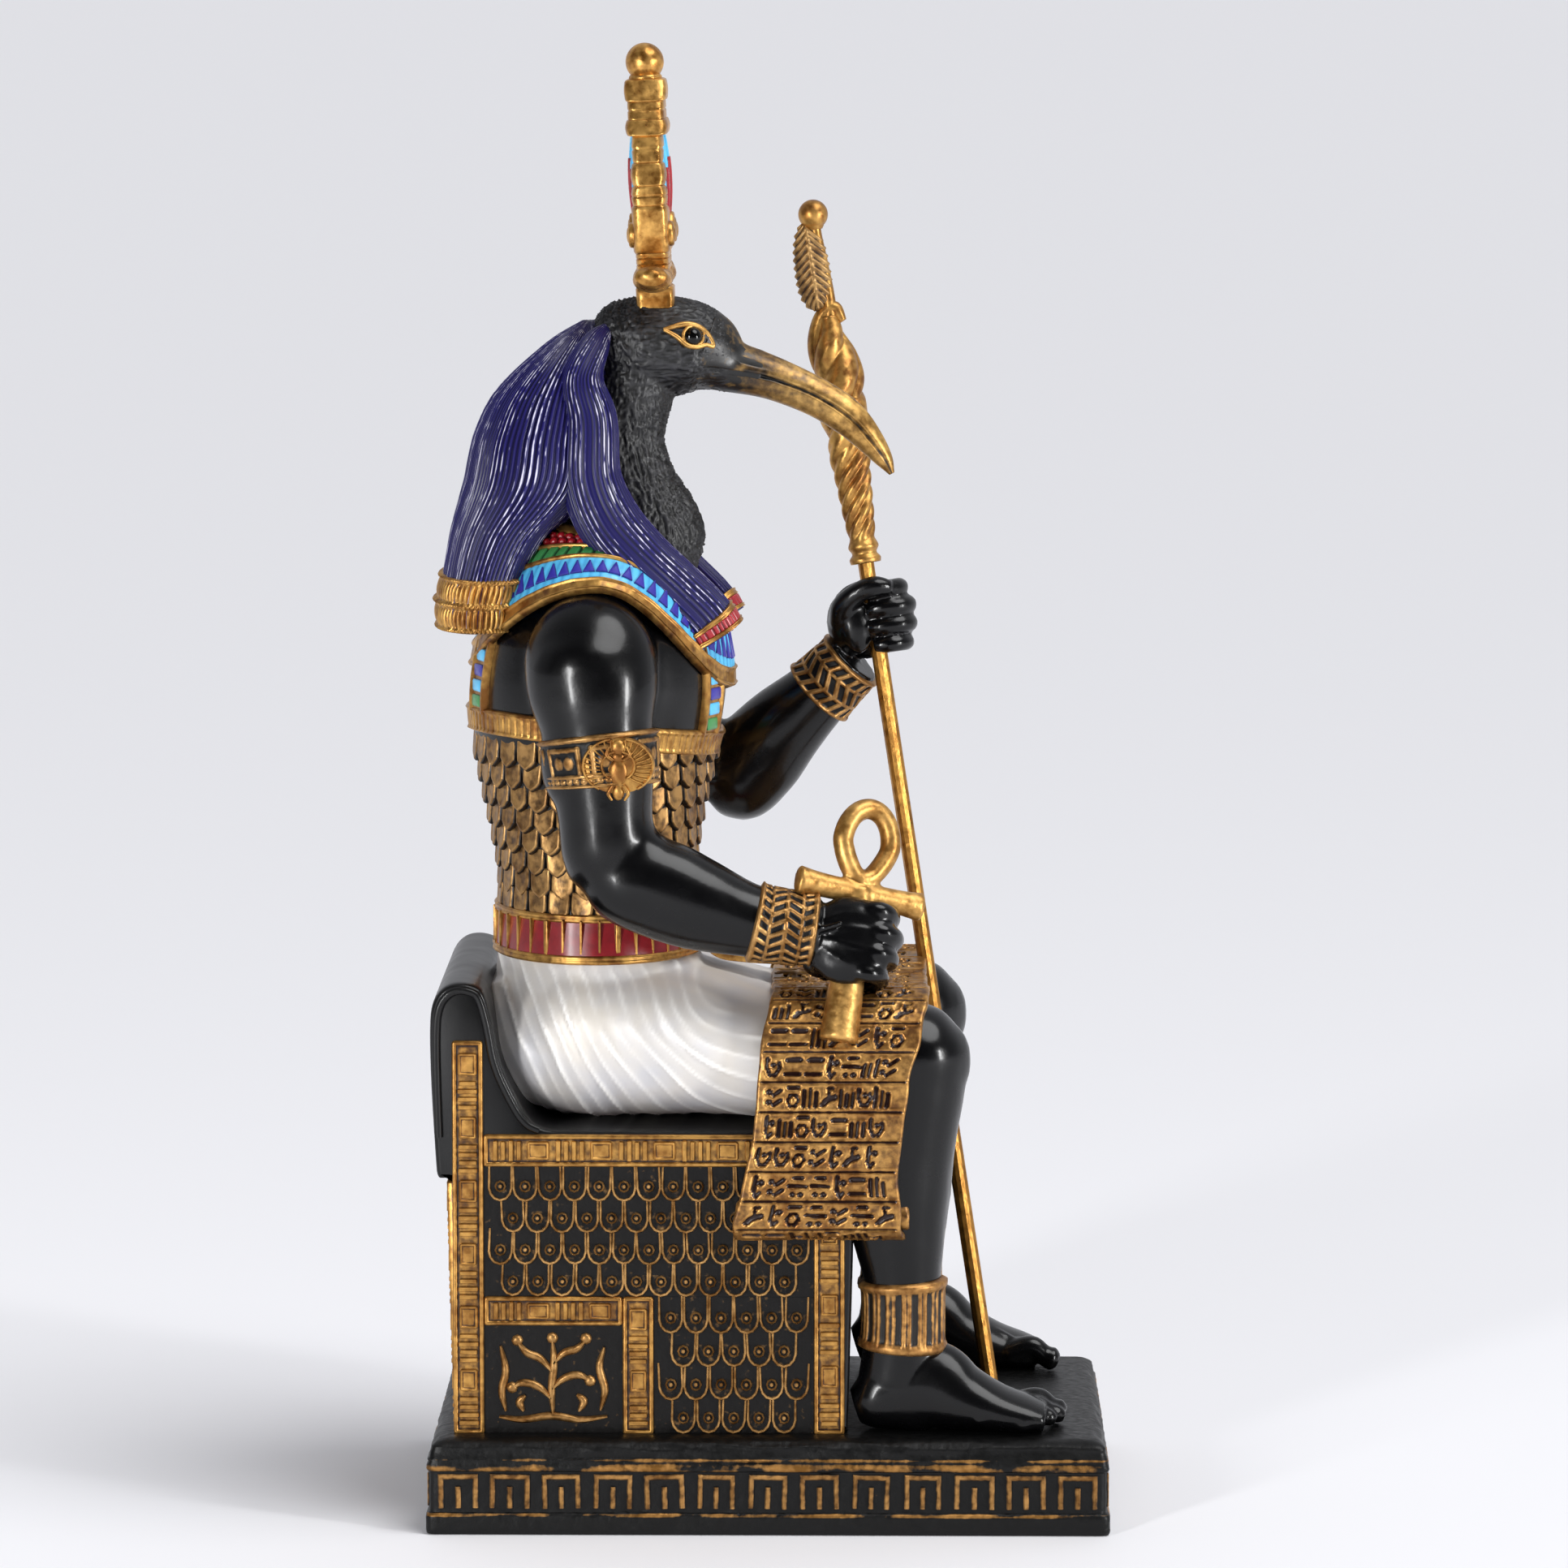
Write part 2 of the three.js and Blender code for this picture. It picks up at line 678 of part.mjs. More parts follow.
// Ankh: a looped cross of round bars with flared ends. extra widens it all round, for its room.
function ankh(extra = 0) {
  const half = ankhThickness / 2 + extra;
  const bar = ankhBar / 2 + extra;
  const arm = ankhSpan / 2 + extra;
  const crossbar = shaped(8, 4, (along, angle, reach) => {
    const t = 2 * along - 1;
    const high = bar + ankhFlare * t ** 4;
    return new THREE.Vector3(arm * t, reach * high * Math.cos(angle), reach * half * Math.sin(angle));
  });
  const tail = shaped(10, 2, (along, angle, reach) => {
    const radius = ankhTailTop + (ankhTailEnd - ankhTailTop) * along + extra;
    const down = 1 + (ankhTail + extra + 1) * -along;
    return new THREE.Vector3(reach * radius * Math.cos(angle), down, reach * radius * Math.sin(angle));
  });
  const tube = 0.35;
  const ring = new THREE.TorusGeometry(1, tube, 6, 16);
  const at = ring.attributes.position;
  for (let i = 0; i < at.count; i++) {
    const angle = Math.atan2(at.getY(i), at.getX(i));
    const off = (Math.hypot(at.getX(i), at.getY(i)) - 1) / tube;
    const narrow = 1 - 0.32 * clamp(-Math.sin(angle), 0, 1);
    const x = Math.cos(angle) * (ankhLoopWidth * narrow + off * (ankhLoopBar + extra));
    const y = ankhLoopRise + Math.sin(angle) * (ankhLoopHeight + off * (ankhLoopBar + extra));
    at.setXYZ(i, x, y, (at.getZ(i) / tube) * half);
  }
  const facing = ankhAcross.clone().cross(ankhUp);
  const middle = grip.right.clone().addScaledVector(ankhUp, ankhMiddle);
  const turn = new THREE.Matrix4().makeBasis(ankhAcross, ankhUp, facing).setPosition(middle);
  return join([crossbar, tail, solid(ring)]).transform(turn.toArray());
}

// Staff: a straight rod, and a twisted cast head pushed on its upper end

// A bar of the given radius between two distances along the rod's line, from the plinth's top.
function alongRod(radius, from, to, sides = 12) {
  const geometry = new THREE.CylinderGeometry(radius, radius, to - from, sides);
  geometry.translate(0, (from + to) / 2, 0);
  const turn = new THREE.Quaternion().setFromUnitVectors(new THREE.Vector3(0, 1, 0), rodUp);
  geometry.applyQuaternion(turn);
  geometry.translate(...rodFoot.toArray());
  return geometry;
}

const staffHeadStart = 173.6; // along the rod, just over the fist
const rodEnd = staffHeadStart + headSocketDepth;

function staffHead() {
  const size = between([
    [0, rodRadius + clearance + staffWall],
    [2, rodRadius + clearance + staffWall * 0.6],
    [4, rodRadius + clearance + staffWall],
    [6, rodRadius + clearance + staffWall * 0.8],
    [14, 3.6],
    [26, 4.3],
    [38, 4.5],
    [47, 3.2],
    [53, 2],
    [60, 1.5],
    [72, 1.3],
  ]);
  const turn = new THREE.Quaternion().setFromUnitVectors(new THREE.Vector3(0, 0, 1), rodUp);
  const start = rodFoot.clone().addScaledVector(rodUp, staffHeadStart);
  const place = (p) => p.applyQuaternion(turn).add(start);
  const length = rodTop.distanceTo(rodFoot) - staffHeadStart;
  const stem = shaped(8, 24, (along, angle, reach) => {
    const s = along * length;
    const [radius] = size(s);
    const twist = s < 4 ? 0 : 0.2 * clamp((s - 4) / 4, 0, 1) * clamp((52 - s) / 6, 0, 1);
    const r = reach * radius * (1 + twist * Math.cos(2 * (angle - s / 3.4)));
    return place(new THREE.Vector3(r * Math.cos(angle), r * Math.sin(angle), s));
  });
  const plume = new THREE.SphereGeometry(1, 8, 6);
  plume.scale(3, 2, 8.6);
  plume.translate(-2.7, 0, 62);
  plume.applyQuaternion(turn).translate(...start.toArray());
  const bore = solid(
    alongRod(rodRadius + clearance, staffHeadStart - 2, rodEnd + clearance),
  );
  return join([
    stem,
    solid(plume),
    ball(staffBallRadius, rodTop.x, rodTop.y, rodTop.z),
  ]).subtract(bore);
}

// Crown: horns, side feathers and reed bundles with discs, flat fore and aft

const crownLean = 0.045;
const crownBottom = drawnHeight - crownFootDepth;
const crownX = -23.3;

const crownFootBox = (extra, z0, z1) => {
  const halfLength = crownFootLength / 2 + extra;
  const halfWidth = crownFootWidth / 2 + extra;
  return box(-halfLength, halfLength, -halfWidth, halfWidth, z0, z1);
};

function crown() {
  const outline = between([
    [4, 5.8],
    [7, 9.6],
    [13, 12.6],
    [22, 13.8],
    [31, 12.4],
    [40, 8.6],
    [47, 4.6],
  ]);
  // [lower edge, upper edge, thickness over the plate's] of the bands that bind the feathers
  const bands = [
    [4.2, 11.8, -1],
    [11.5, 21.4, 0.4],
    [21.1, 25.4, -0.4],
    [25.1, 30, -0.7],
    [29.7, 35.6, -1],
    [35.3, 42.4, 1],
    [42.1, 46.6, 1.4],
  ];
  const layers = bands.map(([z0, z1, extra]) =>
    shaped(4, 2, (along, angle, reach) => {
      const turned = angle + Math.PI / 4;
      const z = z0 + (z1 - z0) * along;
      return new THREE.Vector3(
        (Math.sign(Math.cos(turned)) * reach * (crownThickness + extra)) / 2,
        Math.sign(Math.sin(turned)) * reach * (outline(z)[0] + extra * 0.3),
        z,
      );
    }),
  );
  const pod = (y, low, high, radius, lean) =>
    limb(
      [
        [0, y, low, radius * 0.55, radius * 0.55],
        [0, y + lean * 0.2, low + (high - low) * 0.3, radius, radius],
        [0, y + lean * 0.6, low + (high - low) * 0.7, radius * 0.8, radius * 0.8],
        [0, y + lean, high, radius * 0.55, radius * 0.55],
      ],
      { sides: 6 },
    );
  const disc = (y, z, radius) => {
    const geometry = new THREE.CylinderGeometry(radius, radius, crownDiscs, 8);
    geometry.rotateZ(Math.PI / 2);
    geometry.translate(0, y, z);
    return solid(geometry);
  };
  const horn = (side) =>
    limb(
      [
        [0, 3 * side, 7.6, 2.3, 2.3],
        [0, 12 * side, 6.8, 2.7, 2.7],
        [0, 20 * side, 7.6, 2.4, 2.4],
        [0, 25.5 * side, 12, 1.1, 1.1],
      ],
      { sides: 5 },
    );
  const made = join([
    ...layers,
    pod(0, 10, 43, 5, 0),
    pod(-8.2, 11, 36, 3.9, 3),
    pod(8.2, 11, 36, 3.9, -3),
    disc(0, 16.4, 3.7),
    disc(-9.2, 15, 2.6),
    disc(9.2, 15, 2.6),
    horn(-1),
    horn(1),
    ball(3.9, 0, 0, 50.2, 8),
  ]);
  const foot = crownFootBox(0, 0, 4.6);
  const lean = (-crownLean * 180) / Math.PI;
  return made.add(foot).rotate([0, lean, 0]).translate([crownX, 0, crownBottom]);
}

// Room for the crown's foot in the head.
function crownRoom() {
  const room = crownFootBox(clearance, -clearance, 12);
  const lean = (-crownLean * 180) / Math.PI;
  return room.rotate([0, lean, 0]).translate([crownX, 0, crownBottom]);
}

// Assembly

const onPlinth = (made) => made.scale([grown, grown, grown]).translate([0, 0, plinthHeight]);

const rodRoom = solid(alongRod(rodRadius + clearance, -rodSocketDepth - clearance, staffHeadStart));
const figure = filled(
  plinth()
    .add(throne().translate([0, 0, plinthHeight]))
    .add(onPlinth(body()))
    .subtract(onPlinth(rodRoom))
    .subtract(onPlinth(ankh(clearance)))
    .subtract(onPlinth(crownRoom())),
);

const model = new THREE.Group();

function piece(name, made, colour, roughness, metalness) {
  const mesh = made.getMesh();
  const geometry = new THREE.BufferGeometry();
  geometry.setAttribute("position", new THREE.BufferAttribute(mesh.vertProperties, 3));
  geometry.setIndex(new THREE.BufferAttribute(mesh.triVerts, 1));
  geometry.computeVertexNormals();
  const material = new THREE.MeshStandardMaterial({ color: colour, roughness, metalness });
  const built = new THREE.Mesh(geometry, material);
  built.name = name;
  model.add(built);
}

piece("figure", figure, 0x1a1a1c, 0.42, 0);
piece("crown", onPlinth(crown()), 0xb6862f, 0.4, 0.7);
piece("ankh", onPlinth(ankh()), 0xbc8a30, 0.4, 0.7);
piece("staff_rod", onPlinth(solid(alongRod(rodRadius, -rodSocketDepth, rodEnd))), 0xb08032, 0.35, 0.8);
piece("staff_head", onPlinth(staffHead()), 0xb6862f, 0.4, 0.7);

export default model;
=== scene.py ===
# %% [markdown]
# # A seated ibis-headed scribe god in painted resin
# The real object is a shelf figurine about 300 mm tall, cast in resin filled with stone powder and sprayed
# satin black, with its ornament picked out by hand in gold and enamel. The frame is the measured CAD model,
# in metres: the figure faces +X, its right hand is on the -Y side, and the plinth stands on z = 0.

# %% Load the frame
from math import cos, hypot, pi, radians, sin, sqrt

import bpy
import numpy as np
from mathutils import Matrix, Vector, noise


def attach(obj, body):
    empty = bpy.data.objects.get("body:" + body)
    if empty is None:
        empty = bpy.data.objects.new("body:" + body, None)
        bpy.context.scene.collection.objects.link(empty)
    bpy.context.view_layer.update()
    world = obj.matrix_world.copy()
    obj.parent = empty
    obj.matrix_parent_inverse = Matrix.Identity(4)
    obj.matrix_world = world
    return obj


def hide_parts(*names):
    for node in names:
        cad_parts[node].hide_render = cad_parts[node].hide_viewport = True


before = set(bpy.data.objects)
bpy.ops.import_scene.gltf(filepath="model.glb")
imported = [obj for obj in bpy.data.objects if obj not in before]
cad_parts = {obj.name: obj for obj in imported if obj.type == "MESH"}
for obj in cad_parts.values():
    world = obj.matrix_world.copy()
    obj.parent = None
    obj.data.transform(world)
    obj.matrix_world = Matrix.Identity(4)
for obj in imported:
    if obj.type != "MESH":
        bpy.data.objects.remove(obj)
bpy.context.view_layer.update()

# %% [markdown]
# ## Camera, floor and light
# The photograph looks along +Y (azimuth 0) from a little above the shoulder, with a long lens. The camera
# was fitted to the plinth's and throne's corners. The light is a product set: a pale sheet, two narrow
# upright soft boxes low on the camera's side that draw the highlights on the black resin, a broad soft
# light from above right, and a pale backdrop in front of a dark room.


# %% Camera
def new_object(name, data):
    """An object in the scene, standing at the origin."""
    made = bpy.data.objects.new(name, data)
    bpy.context.scene.collection.objects.link(made)
    return made


camera_tilt, camera_turn = radians(90 - 7.06), 0.0119
camera_data = bpy.data.cameras.new("photo_camera")
camera_data.lens = 163.2
camera_data.sensor_width = 36.0
camera_data.clip_end = 100.0
camera = new_object("photo_camera", camera_data)
camera.location = (0.020, -1.450, 0.327)
camera.rotation_euler = (camera_tilt, 0, camera_turn)
bpy.context.scene.camera = camera


# %% Colour and node helpers
def srgb(code):
    """A screen colour such as "#b8862f" as the linear values that Blender mixes."""
    parts = [int(code[i : i + 2], 16) / 255 for i in (1, 3, 5)]
    return [c / 12.92 if c <= 0.04045 else ((c + 0.055) / 1.055) ** 2.4 for c in parts] + [1]


def add(tree, kind, inputs=None, out=0, **settings):
    """Adds a node and gives back one output; inputs are sockets, each fed a value or a link."""
    node = tree.nodes.new(kind if "Node" in kind else "ShaderNode" + kind)
    for key, value in settings.items():
        setattr(node, key, value)
    for key, value in (inputs or {}).items():
        if isinstance(value, bpy.types.NodeSocket):
            tree.links.new(value, node.inputs[key])
        else:
            node.inputs[key].default_value = value
    return node.outputs[out] if len(node.outputs) else None


def start_paint(name):
    """An empty material: what adds nodes, the object's coordinates, the raised mark, what ends it."""
    made = bpy.data.materials.new(name)
    made.use_nodes = True
    made.node_tree.nodes.clear()

    def node(kind, inputs=None, out=0, **settings):
        return add(made.node_tree, kind, inputs, out, **settings)

    def finish(values):
        node("OutputMaterial", {"Surface": node("BsdfPrincipled", values)})
        return made

    at, raised = node("TexCoord", out="Object"), node("Attribute", out="Fac", attribute_name="raised")
    return node, at, raised, finish


def per_metre(millimetres):
    """Noise scale whose features are about that many millimetres across."""
    return 1000.0 / millimetres


# %% Floor, backdrop and lamps
mm = 0.001
floor_reach = 40.0
floor_mesh = bpy.data.meshes.new("studio_floor")
corners = [(floor_reach * x, floor_reach * y, 0) for x, y in ((-1, -1), (1, -1), (1, 1), (-1, 1))]
floor_mesh.from_pydata(corners, [], [(0, 1, 2, 3)])
new_object("studio_floor", floor_mesh)
node, _, _, finish = start_paint("pale_studio_paper")
paper = node("TexNoise", {"Scale": 2, "Detail": 2})
tone = node("Mix", {0: paper, 6: srgb("#f0f0f4"), 7: srgb("#f3f3f6")}, 2, data_type="RGBA")
floor_mesh.materials.append(finish({"Base Color": tone, "Roughness": 0.7}))

world = bpy.data.worlds.new("studio_world")
world.use_nodes = True
sky = world.node_tree
sky.nodes.clear()
facing = add(sky, "SeparateXYZ", {0: add(sky, "TexCoord", out="Generated")}, "Y")
behind = add(sky, "MapRange", {0: facing, 1: -0.45, 2: 0.55, 3: 0.04, 4: 0.78})
seen = add(sky, "LightPath", out="Is Camera Ray")
glow = add(sky, "Mix", {0: seen, 2: behind, 3: 0.96}, data_type="FLOAT")
add(sky, "OutputWorld", {"Surface": add(sky, "Background", {"Color": srgb("#e6e7ec"), "Strength": glow})})
bpy.context.scene.world = world
bpy.context.scene.view_settings.view_transform = "Standard"


def lamp(name, kind, power, place, target, **settings):
    """A lamp at a place, turned towards its target."""
    light = bpy.data.lights.new(name, kind)
    light.energy = power
    for key, value in settings.items():
        setattr(light, key, value)
    held = new_object(name, light)
    held.location = place
    held.rotation_euler = (Vector(target) - Vector(place)).to_track_quat("-Z", "Y").to_euler()


waist = (0, 0, 0.16)
lamp("soft_box_right", "AREA", 10.4, (1.12, -0.72, 0.30), waist, shape="RECTANGLE", size=0.12, size_y=0.5)
lamp("soft_box_left", "AREA", 9, (-0.66, -1.08, 0.30), waist, shape="RECTANGLE", size=0.11, size_y=0.5)
lamp("studio_ceiling", "SUN", 2, (0.5, -0.28, 1), (0, 0, 0), angle=radians(38))

# %% [markdown]
# ## Paints
# Each finish is one material made for how the paint was laid on the resin. Satin black is sprayed, and
# shows the casting's soft grain. The gold is bronze powder: thick and bright on raised work, thin and brown
# in the hollows, where the black shows. Every sculpted piece carries a mesh attribute named `raised`, 0 in
# the hollows and 1 on the ridges. On the hair it also places painted shade in the grooves and a painted
# highlight along the ridges, and on the kilt a painted highlight along the pleat lines. Enamel colours are
# brushed on glossy and a little uneven.


# %% Satin black
def sprayed_black(name, tone_low, tone_high, gloss, grain):
    """Satin black sprayed on resin, with a casting's faint unevenness in the highlights."""
    node, at, _, finish = start_paint(name)
    cloud = node("TexNoise", {"Vector": at, "Scale": per_metre(9), "Detail": 4})
    fine = node("TexNoise", {"Vector": at, "Scale": per_metre(grain), "Detail": 2})
    tone = node("Mix", {0: cloud, 6: srgb(tone_low), 7: srgb(tone_high)}, 2, data_type="RGBA")
    rough = node("MapRange", {0: cloud, 1: 0.3, 2: 0.7, 3: gloss - 0.04, 4: gloss + 0.05})
    swell = node("Bump", {"Distance": 0.12 * mm, "Height": cloud})
    bump = node("Bump", {"Distance": 0.012 * mm, "Height": fine, "Normal": swell})
    return finish({"Base Color": tone, "Roughness": rough, "Normal": bump, "Specular IOR Level": 0.24,
        "Coat Weight": 0.2, "Coat Roughness": 0.12})


skin_black = sprayed_black("satin_black_skin", "#030304", "#060607", 0.25, 0.6)
throne_black = sprayed_black("satin_black_throne", "#060606", "#0b0b0c", 0.4, 0.4)


# %% Gold paint
def gold_paint(name, hollow, dull, bright, cover, gloss=0.36, hollow_metal=0.2, metal=0.8, spread=0.35,
    lumps=1, lacquer=0.5):
    """Bronze-powder gold, thick on ridges and worn thin in hollows; cover 0..1 is how much it fills."""
    node, at, raised, finish = start_paint(name)
    brush = node("TexNoise", {"Vector": at, "Scale": per_metre(1.6), "Detail": 5})
    patch = node("TexNoise", {"Vector": at, "Scale": per_metre(7), "Detail": 3})
    lift = node("Math", {0: brush, 1: 0.7, 2: raised}, operation="MULTIPLY_ADD")
    mask = node("MapRange", {0: lift, 1: 1.05 - cover, 2: 1.05 - cover + spread})
    cloud = node("Math", {0: patch, 1: brush}, operation="ADD")
    blend = node("MapRange", {0: cloud, 1: 0.78, 2: 1.22})
    gold = node("Mix", {0: blend, 6: srgb(dull), 7: srgb(bright)}, 2, data_type="RGBA")
    tone = node("Mix", {0: mask, 6: srgb(hollow), 7: gold}, 2, data_type="RGBA")
    shine = node("MapRange", {0: mask, 3: hollow_metal, 4: metal})
    rough = node("MapRange", {0: brush, 1: 0.3, 2: 0.7, 3: gloss, 4: gloss + 0.14})
    swell = node("Bump", {"Distance": 0.22 * lumps * mm, "Height": patch})
    bump = node("Bump", {"Distance": 0.11 * lumps * mm, "Height": brush, "Normal": swell})
    return finish({"Base Color": tone, "Metallic": shine, "Roughness": rough, "Normal": bump,
        "Specular IOR Level": lacquer})


antique_gold = gold_paint("antique_gold_paint", "#3c200c", "#87592a", "#c89a52", 0.8, 0.3)
strip_gold = gold_paint("antique_gold_on_carved_strips", "#2c170a", "#8a5e2c", "#c6964f", 0.6, 0.28, 0.2,
    0.8, 0.3, 0.6)
brushed_gold = gold_paint("gold_brushed_over_black", "#0a0807", "#7c552a", "#bd925a", 0.5, 0.32, 0.2, 0.8,
    0.35, 0.8, 0.3)
satin_gold = gold_paint("satin_gold_paint", "#5e3612", "#956a32", "#d0a25c", 0.95, 0.32, 0.6)
scroll_paint = gold_paint("antique_gold_scroll", "#210d0a", "#84582a", "#c29352", 0.5, 0.3, 0.2, 0.8, 0.35,
    0.5)
scale_bronze = gold_paint("bronze_gold_scales", "#100804", "#6a4a28", "#ad8652", 0.46, 0.32)
crown_paint = gold_paint("bright_antique_gold_crown", "#4c2a0e", "#8f5f26", "#dba95c", 0.95, 0.26)


# %% Enamels
def enamel(name, deep, light):
    """Glossy enamel brushed on by hand: pooled darker in the hollows, thin and lighter on the ridges."""
    node, at, raised, finish = start_paint(name)
    brush = node("TexNoise", {"Vector": at, "Scale": per_metre(1.8), "Detail": 4})
    pool = node("Math", {0: brush, 1: 0.7, 2: raised}, operation="MULTIPLY_ADD")
    mask = node("MapRange", {0: pool, 1: 0.35, 2: 1.35})
    tone = node("Mix", {0: mask, 6: srgb(deep), 7: srgb(light)}, 2, data_type="RGBA")
    bump = node("Bump", {"Distance": 0.05 * mm, "Height": brush})
    return finish({"Base Color": tone, "Roughness": 0.36, "Normal": bump, "Coat Weight": 0.25,
        "Coat Roughness": 0.2})


red_enamel = enamel("gloss_red_enamel", "#4c060c", "#a61824")
sky_enamel = enamel("gloss_light_blue_enamel", "#1f6fb0", "#5cc0ee")
leaf_enamel = enamel("gloss_green_enamel", "#123a1c", "#3c8a4a")
ink_enamel = enamel("gloss_indigo_enamel", "#14124e", "#34309a")

# %% Indigo hair, pearl cloth
# Indigo brushed thin over carved strands. Painted shade makes the grooves near black, and a painted
# highlight in pale lavender runs along the crests of the ridges.
node, at, raised, finish = start_paint("indigo_hair_painted_highlight_and_shade")
drawn = node("Mapping", {"Vector": at, "Scale": (1, 1, 0.12)})
highlight_streaks = node("TexNoise", {"Vector": drawn, "Scale": per_metre(1.1), "Detail": 3})
body = node("TexNoise", {"Vector": at, "Scale": per_metre(11), "Detail": 2})
# Painted shade: the grooves are near black and the ridges indigo.
deep = node("Mix", {0: raised, 6: srgb("#020212"), 7: srgb("#241e74")}, 2, data_type="RGBA")
warm = node("Mix", {0: body, 6: deep, 7: srgb("#161248")}, 2, data_type="RGBA")
# Painted highlight: pale lavender along the crests of the ridges, in upright streaks.
crest_highlight = node("Math", {0: highlight_streaks, 1: 0.9, 2: raised}, operation="MULTIPLY_ADD")
mask = node("MapRange", {0: crest_highlight, 1: 1.3, 2: 1.42, 4: 0.95})
tone = node("Mix", {0: mask, 6: warm, 7: srgb("#d2d0e2")}, 2, data_type="RGBA")
hair_indigo = finish({"Base Color": tone, "Roughness": 0.36, "Coat Weight": 0.08,
    "Specular IOR Level": 0.35})

# Pearl white: mica in clear paint over white, so it goes from warm to cool and keeps a soft sheen. The
# raised pleat lines are painted near white, as a painted highlight.
node, at, raised, finish = start_paint("pearl_white_paint")
cloud = node("TexNoise", {"Vector": at, "Scale": per_metre(14), "Detail": 3})
fine = node("TexNoise", {"Vector": at, "Scale": per_metre(2.5), "Detail": 4})
ramp = node("MapRange", {0: cloud, 1: 0.35, 2: 0.65})
tint = node("Mix", {0: ramp, 6: srgb("#c5c4c6"), 7: srgb("#d3cdc4")}, 2, data_type="RGBA")
# Painted highlight: the raised pleat lines are near white.
tone = node("Mix", {0: raised, 6: tint, 7: srgb("#faf8f4")}, 2, data_type="RGBA")
bump = node("Bump", {"Distance": 0.06 * mm, "Height": fine})
pearl_white = finish({"Base Color": tone, "Roughness": 0.44, "Normal": bump, "Metallic": 0.1,
    "Sheen Weight": 0.12, "Sheen Tint": srgb("#f4d9d6"), "Coat Weight": 0.1, "Coat Roughness": 0.25})

# %% [markdown]
# ## Sculpting on grids
# A carved casting is easiest to make as grids of points: rows along a limb, columns round it. The form
# comes from a short table of measured stations, and the carving on it (strands, scales, strokes) is a
# height in millimetres added along the surface. Numbers in the tables are in millimetres over the figure's
# soles.

# %% Smooth lines through stations
plinth_height = 19.5
rng = np.random.default_rng(7)


def smooth_rows(rows, t):
    """Rows [x, y, z, size, size] read at shares t along them, on a smooth path through every row."""
    rows = np.asarray(rows, float)
    last = len(rows) - 1
    ends = np.vstack([2 * rows[0] - rows[1], rows, 2 * rows[-1] - rows[-2]])
    s = clamp(np.asarray(t, float)) * last
    i = np.minimum(s.astype(int), last - 1)
    w = (s - i)[:, None]
    a, b, c, d = ends[i], ends[i + 1], ends[i + 2], ends[i + 3]
    pairs = ((a, b), (b, c), (c, d))
    gap = [np.sqrt(np.maximum(np.linalg.norm((q - p)[:, :3], axis=1), 1e-6))[:, None] for p, q in pairs]
    out = ((b - a) / gap[0] - (c - a) / (gap[0] + gap[1]) + (c - b) / gap[1]) * gap[1]
    into = ((c - b) / gap[1] - (d - b) / (gap[1] + gap[2]) + (d - c) / gap[2]) * gap[1]
    return b + w * (out + w * ((3 * (c - b) - 2 * out - into) + w * (2 * (b - c) + out + into)))


def between(rows, at):
    """Smooth values between rows [position, value, ...] read at positions of any shape."""
    rows = np.asarray(rows, float)
    knots, values = rows[:, 0], rows[:, 1:]
    slopes = np.gradient(values, knots, axis=0)
    at = np.clip(at, knots[0], knots[-1])
    i = np.clip(np.searchsorted(knots, at, side="right") - 1, 0, len(knots) - 2)
    h = (knots[i + 1] - knots[i])[..., None]
    w = (at - knots[i])[..., None] / h
    start = (1 + 2 * w) * (1 - w) ** 2 * values[i] + w * (1 - w) ** 2 * h * slopes[i]
    return start + w**2 * (3 - 2 * w) * values[i + 1] + w**2 * (w - 1) * h * slopes[i + 1]


def superellipse(angle, power):
    bend = lambda v: np.sign(v) * np.abs(v) ** (2 / power)
    return bend(np.cos(angle)), bend(np.sin(angle))


def unit(v):
    return v / np.maximum(np.linalg.norm(v, axis=-1, keepdims=True), 1e-9)


def limb_grid(rows, t, angle, power=2):
    """Points round a limb: angle 0 is one edge of its thickness, a quarter turn its +Y side."""
    t = np.asarray(t, float)
    spot = smooth_rows(rows, t)
    forward = unit(smooth_rows(rows, t + 2e-3)[:, :3] - smooth_rows(rows, t - 2e-3)[:, :3])
    side = np.array([0.0, 1.0, 0.0])
    across = unit(side - (forward @ side)[:, None] * forward)
    up = np.cross(forward, across)
    c, s = superellipse(angle, power)
    thick, wide = spot[:, 3:4] * c, spot[:, 4:5] * s
    return spot[:, None, :3] + thick[..., None] * up[:, None] + wide[..., None] * across[:, None]


def stack_grid(slices, z, angle, power=2, proud=0):
    """Points round level slices [z, x of centre, half depth, half width]; z is a grid or a column."""
    z = np.broadcast_to(z, (np.shape(z)[0], len(angle)))
    mid = between(slices, z)
    c, s = superellipse(angle, power)
    return np.stack([mid[..., 0] + c * (mid[..., 1] + proud), s * (mid[..., 2] + proud), z], -1)


def turns(count):
    return np.arange(count) * 2 * pi / count


def clamp(value):
    return np.clip(value, 0, 1)


def bell(value):
    """1 at zero, falling off softly on both sides."""
    return np.exp(-(value**2))


def zigzag(value):
    """A wave that falls from 1 to 0 and back over each whole number."""
    return np.abs(value % 1 - 0.5) * 2


def column(low, high, step):
    """Evenly spaced values in a column, to be mixed with a row of angles."""
    return np.linspace(low, high, max(2, round((high - low) / step) + 1))[:, None]


def ball_grid(radii, sides, rows, pole):
    """Points of an egg round the origin; pole is the small angle left at each end for the cap."""
    a, b = turns(sides), np.linspace(pole, pi - pole, rows)[:, None]
    return np.stack([np.sin(b) * np.cos(a), np.sin(b) * np.sin(a), np.cos(b) * np.ones(sides)], -1) * radii


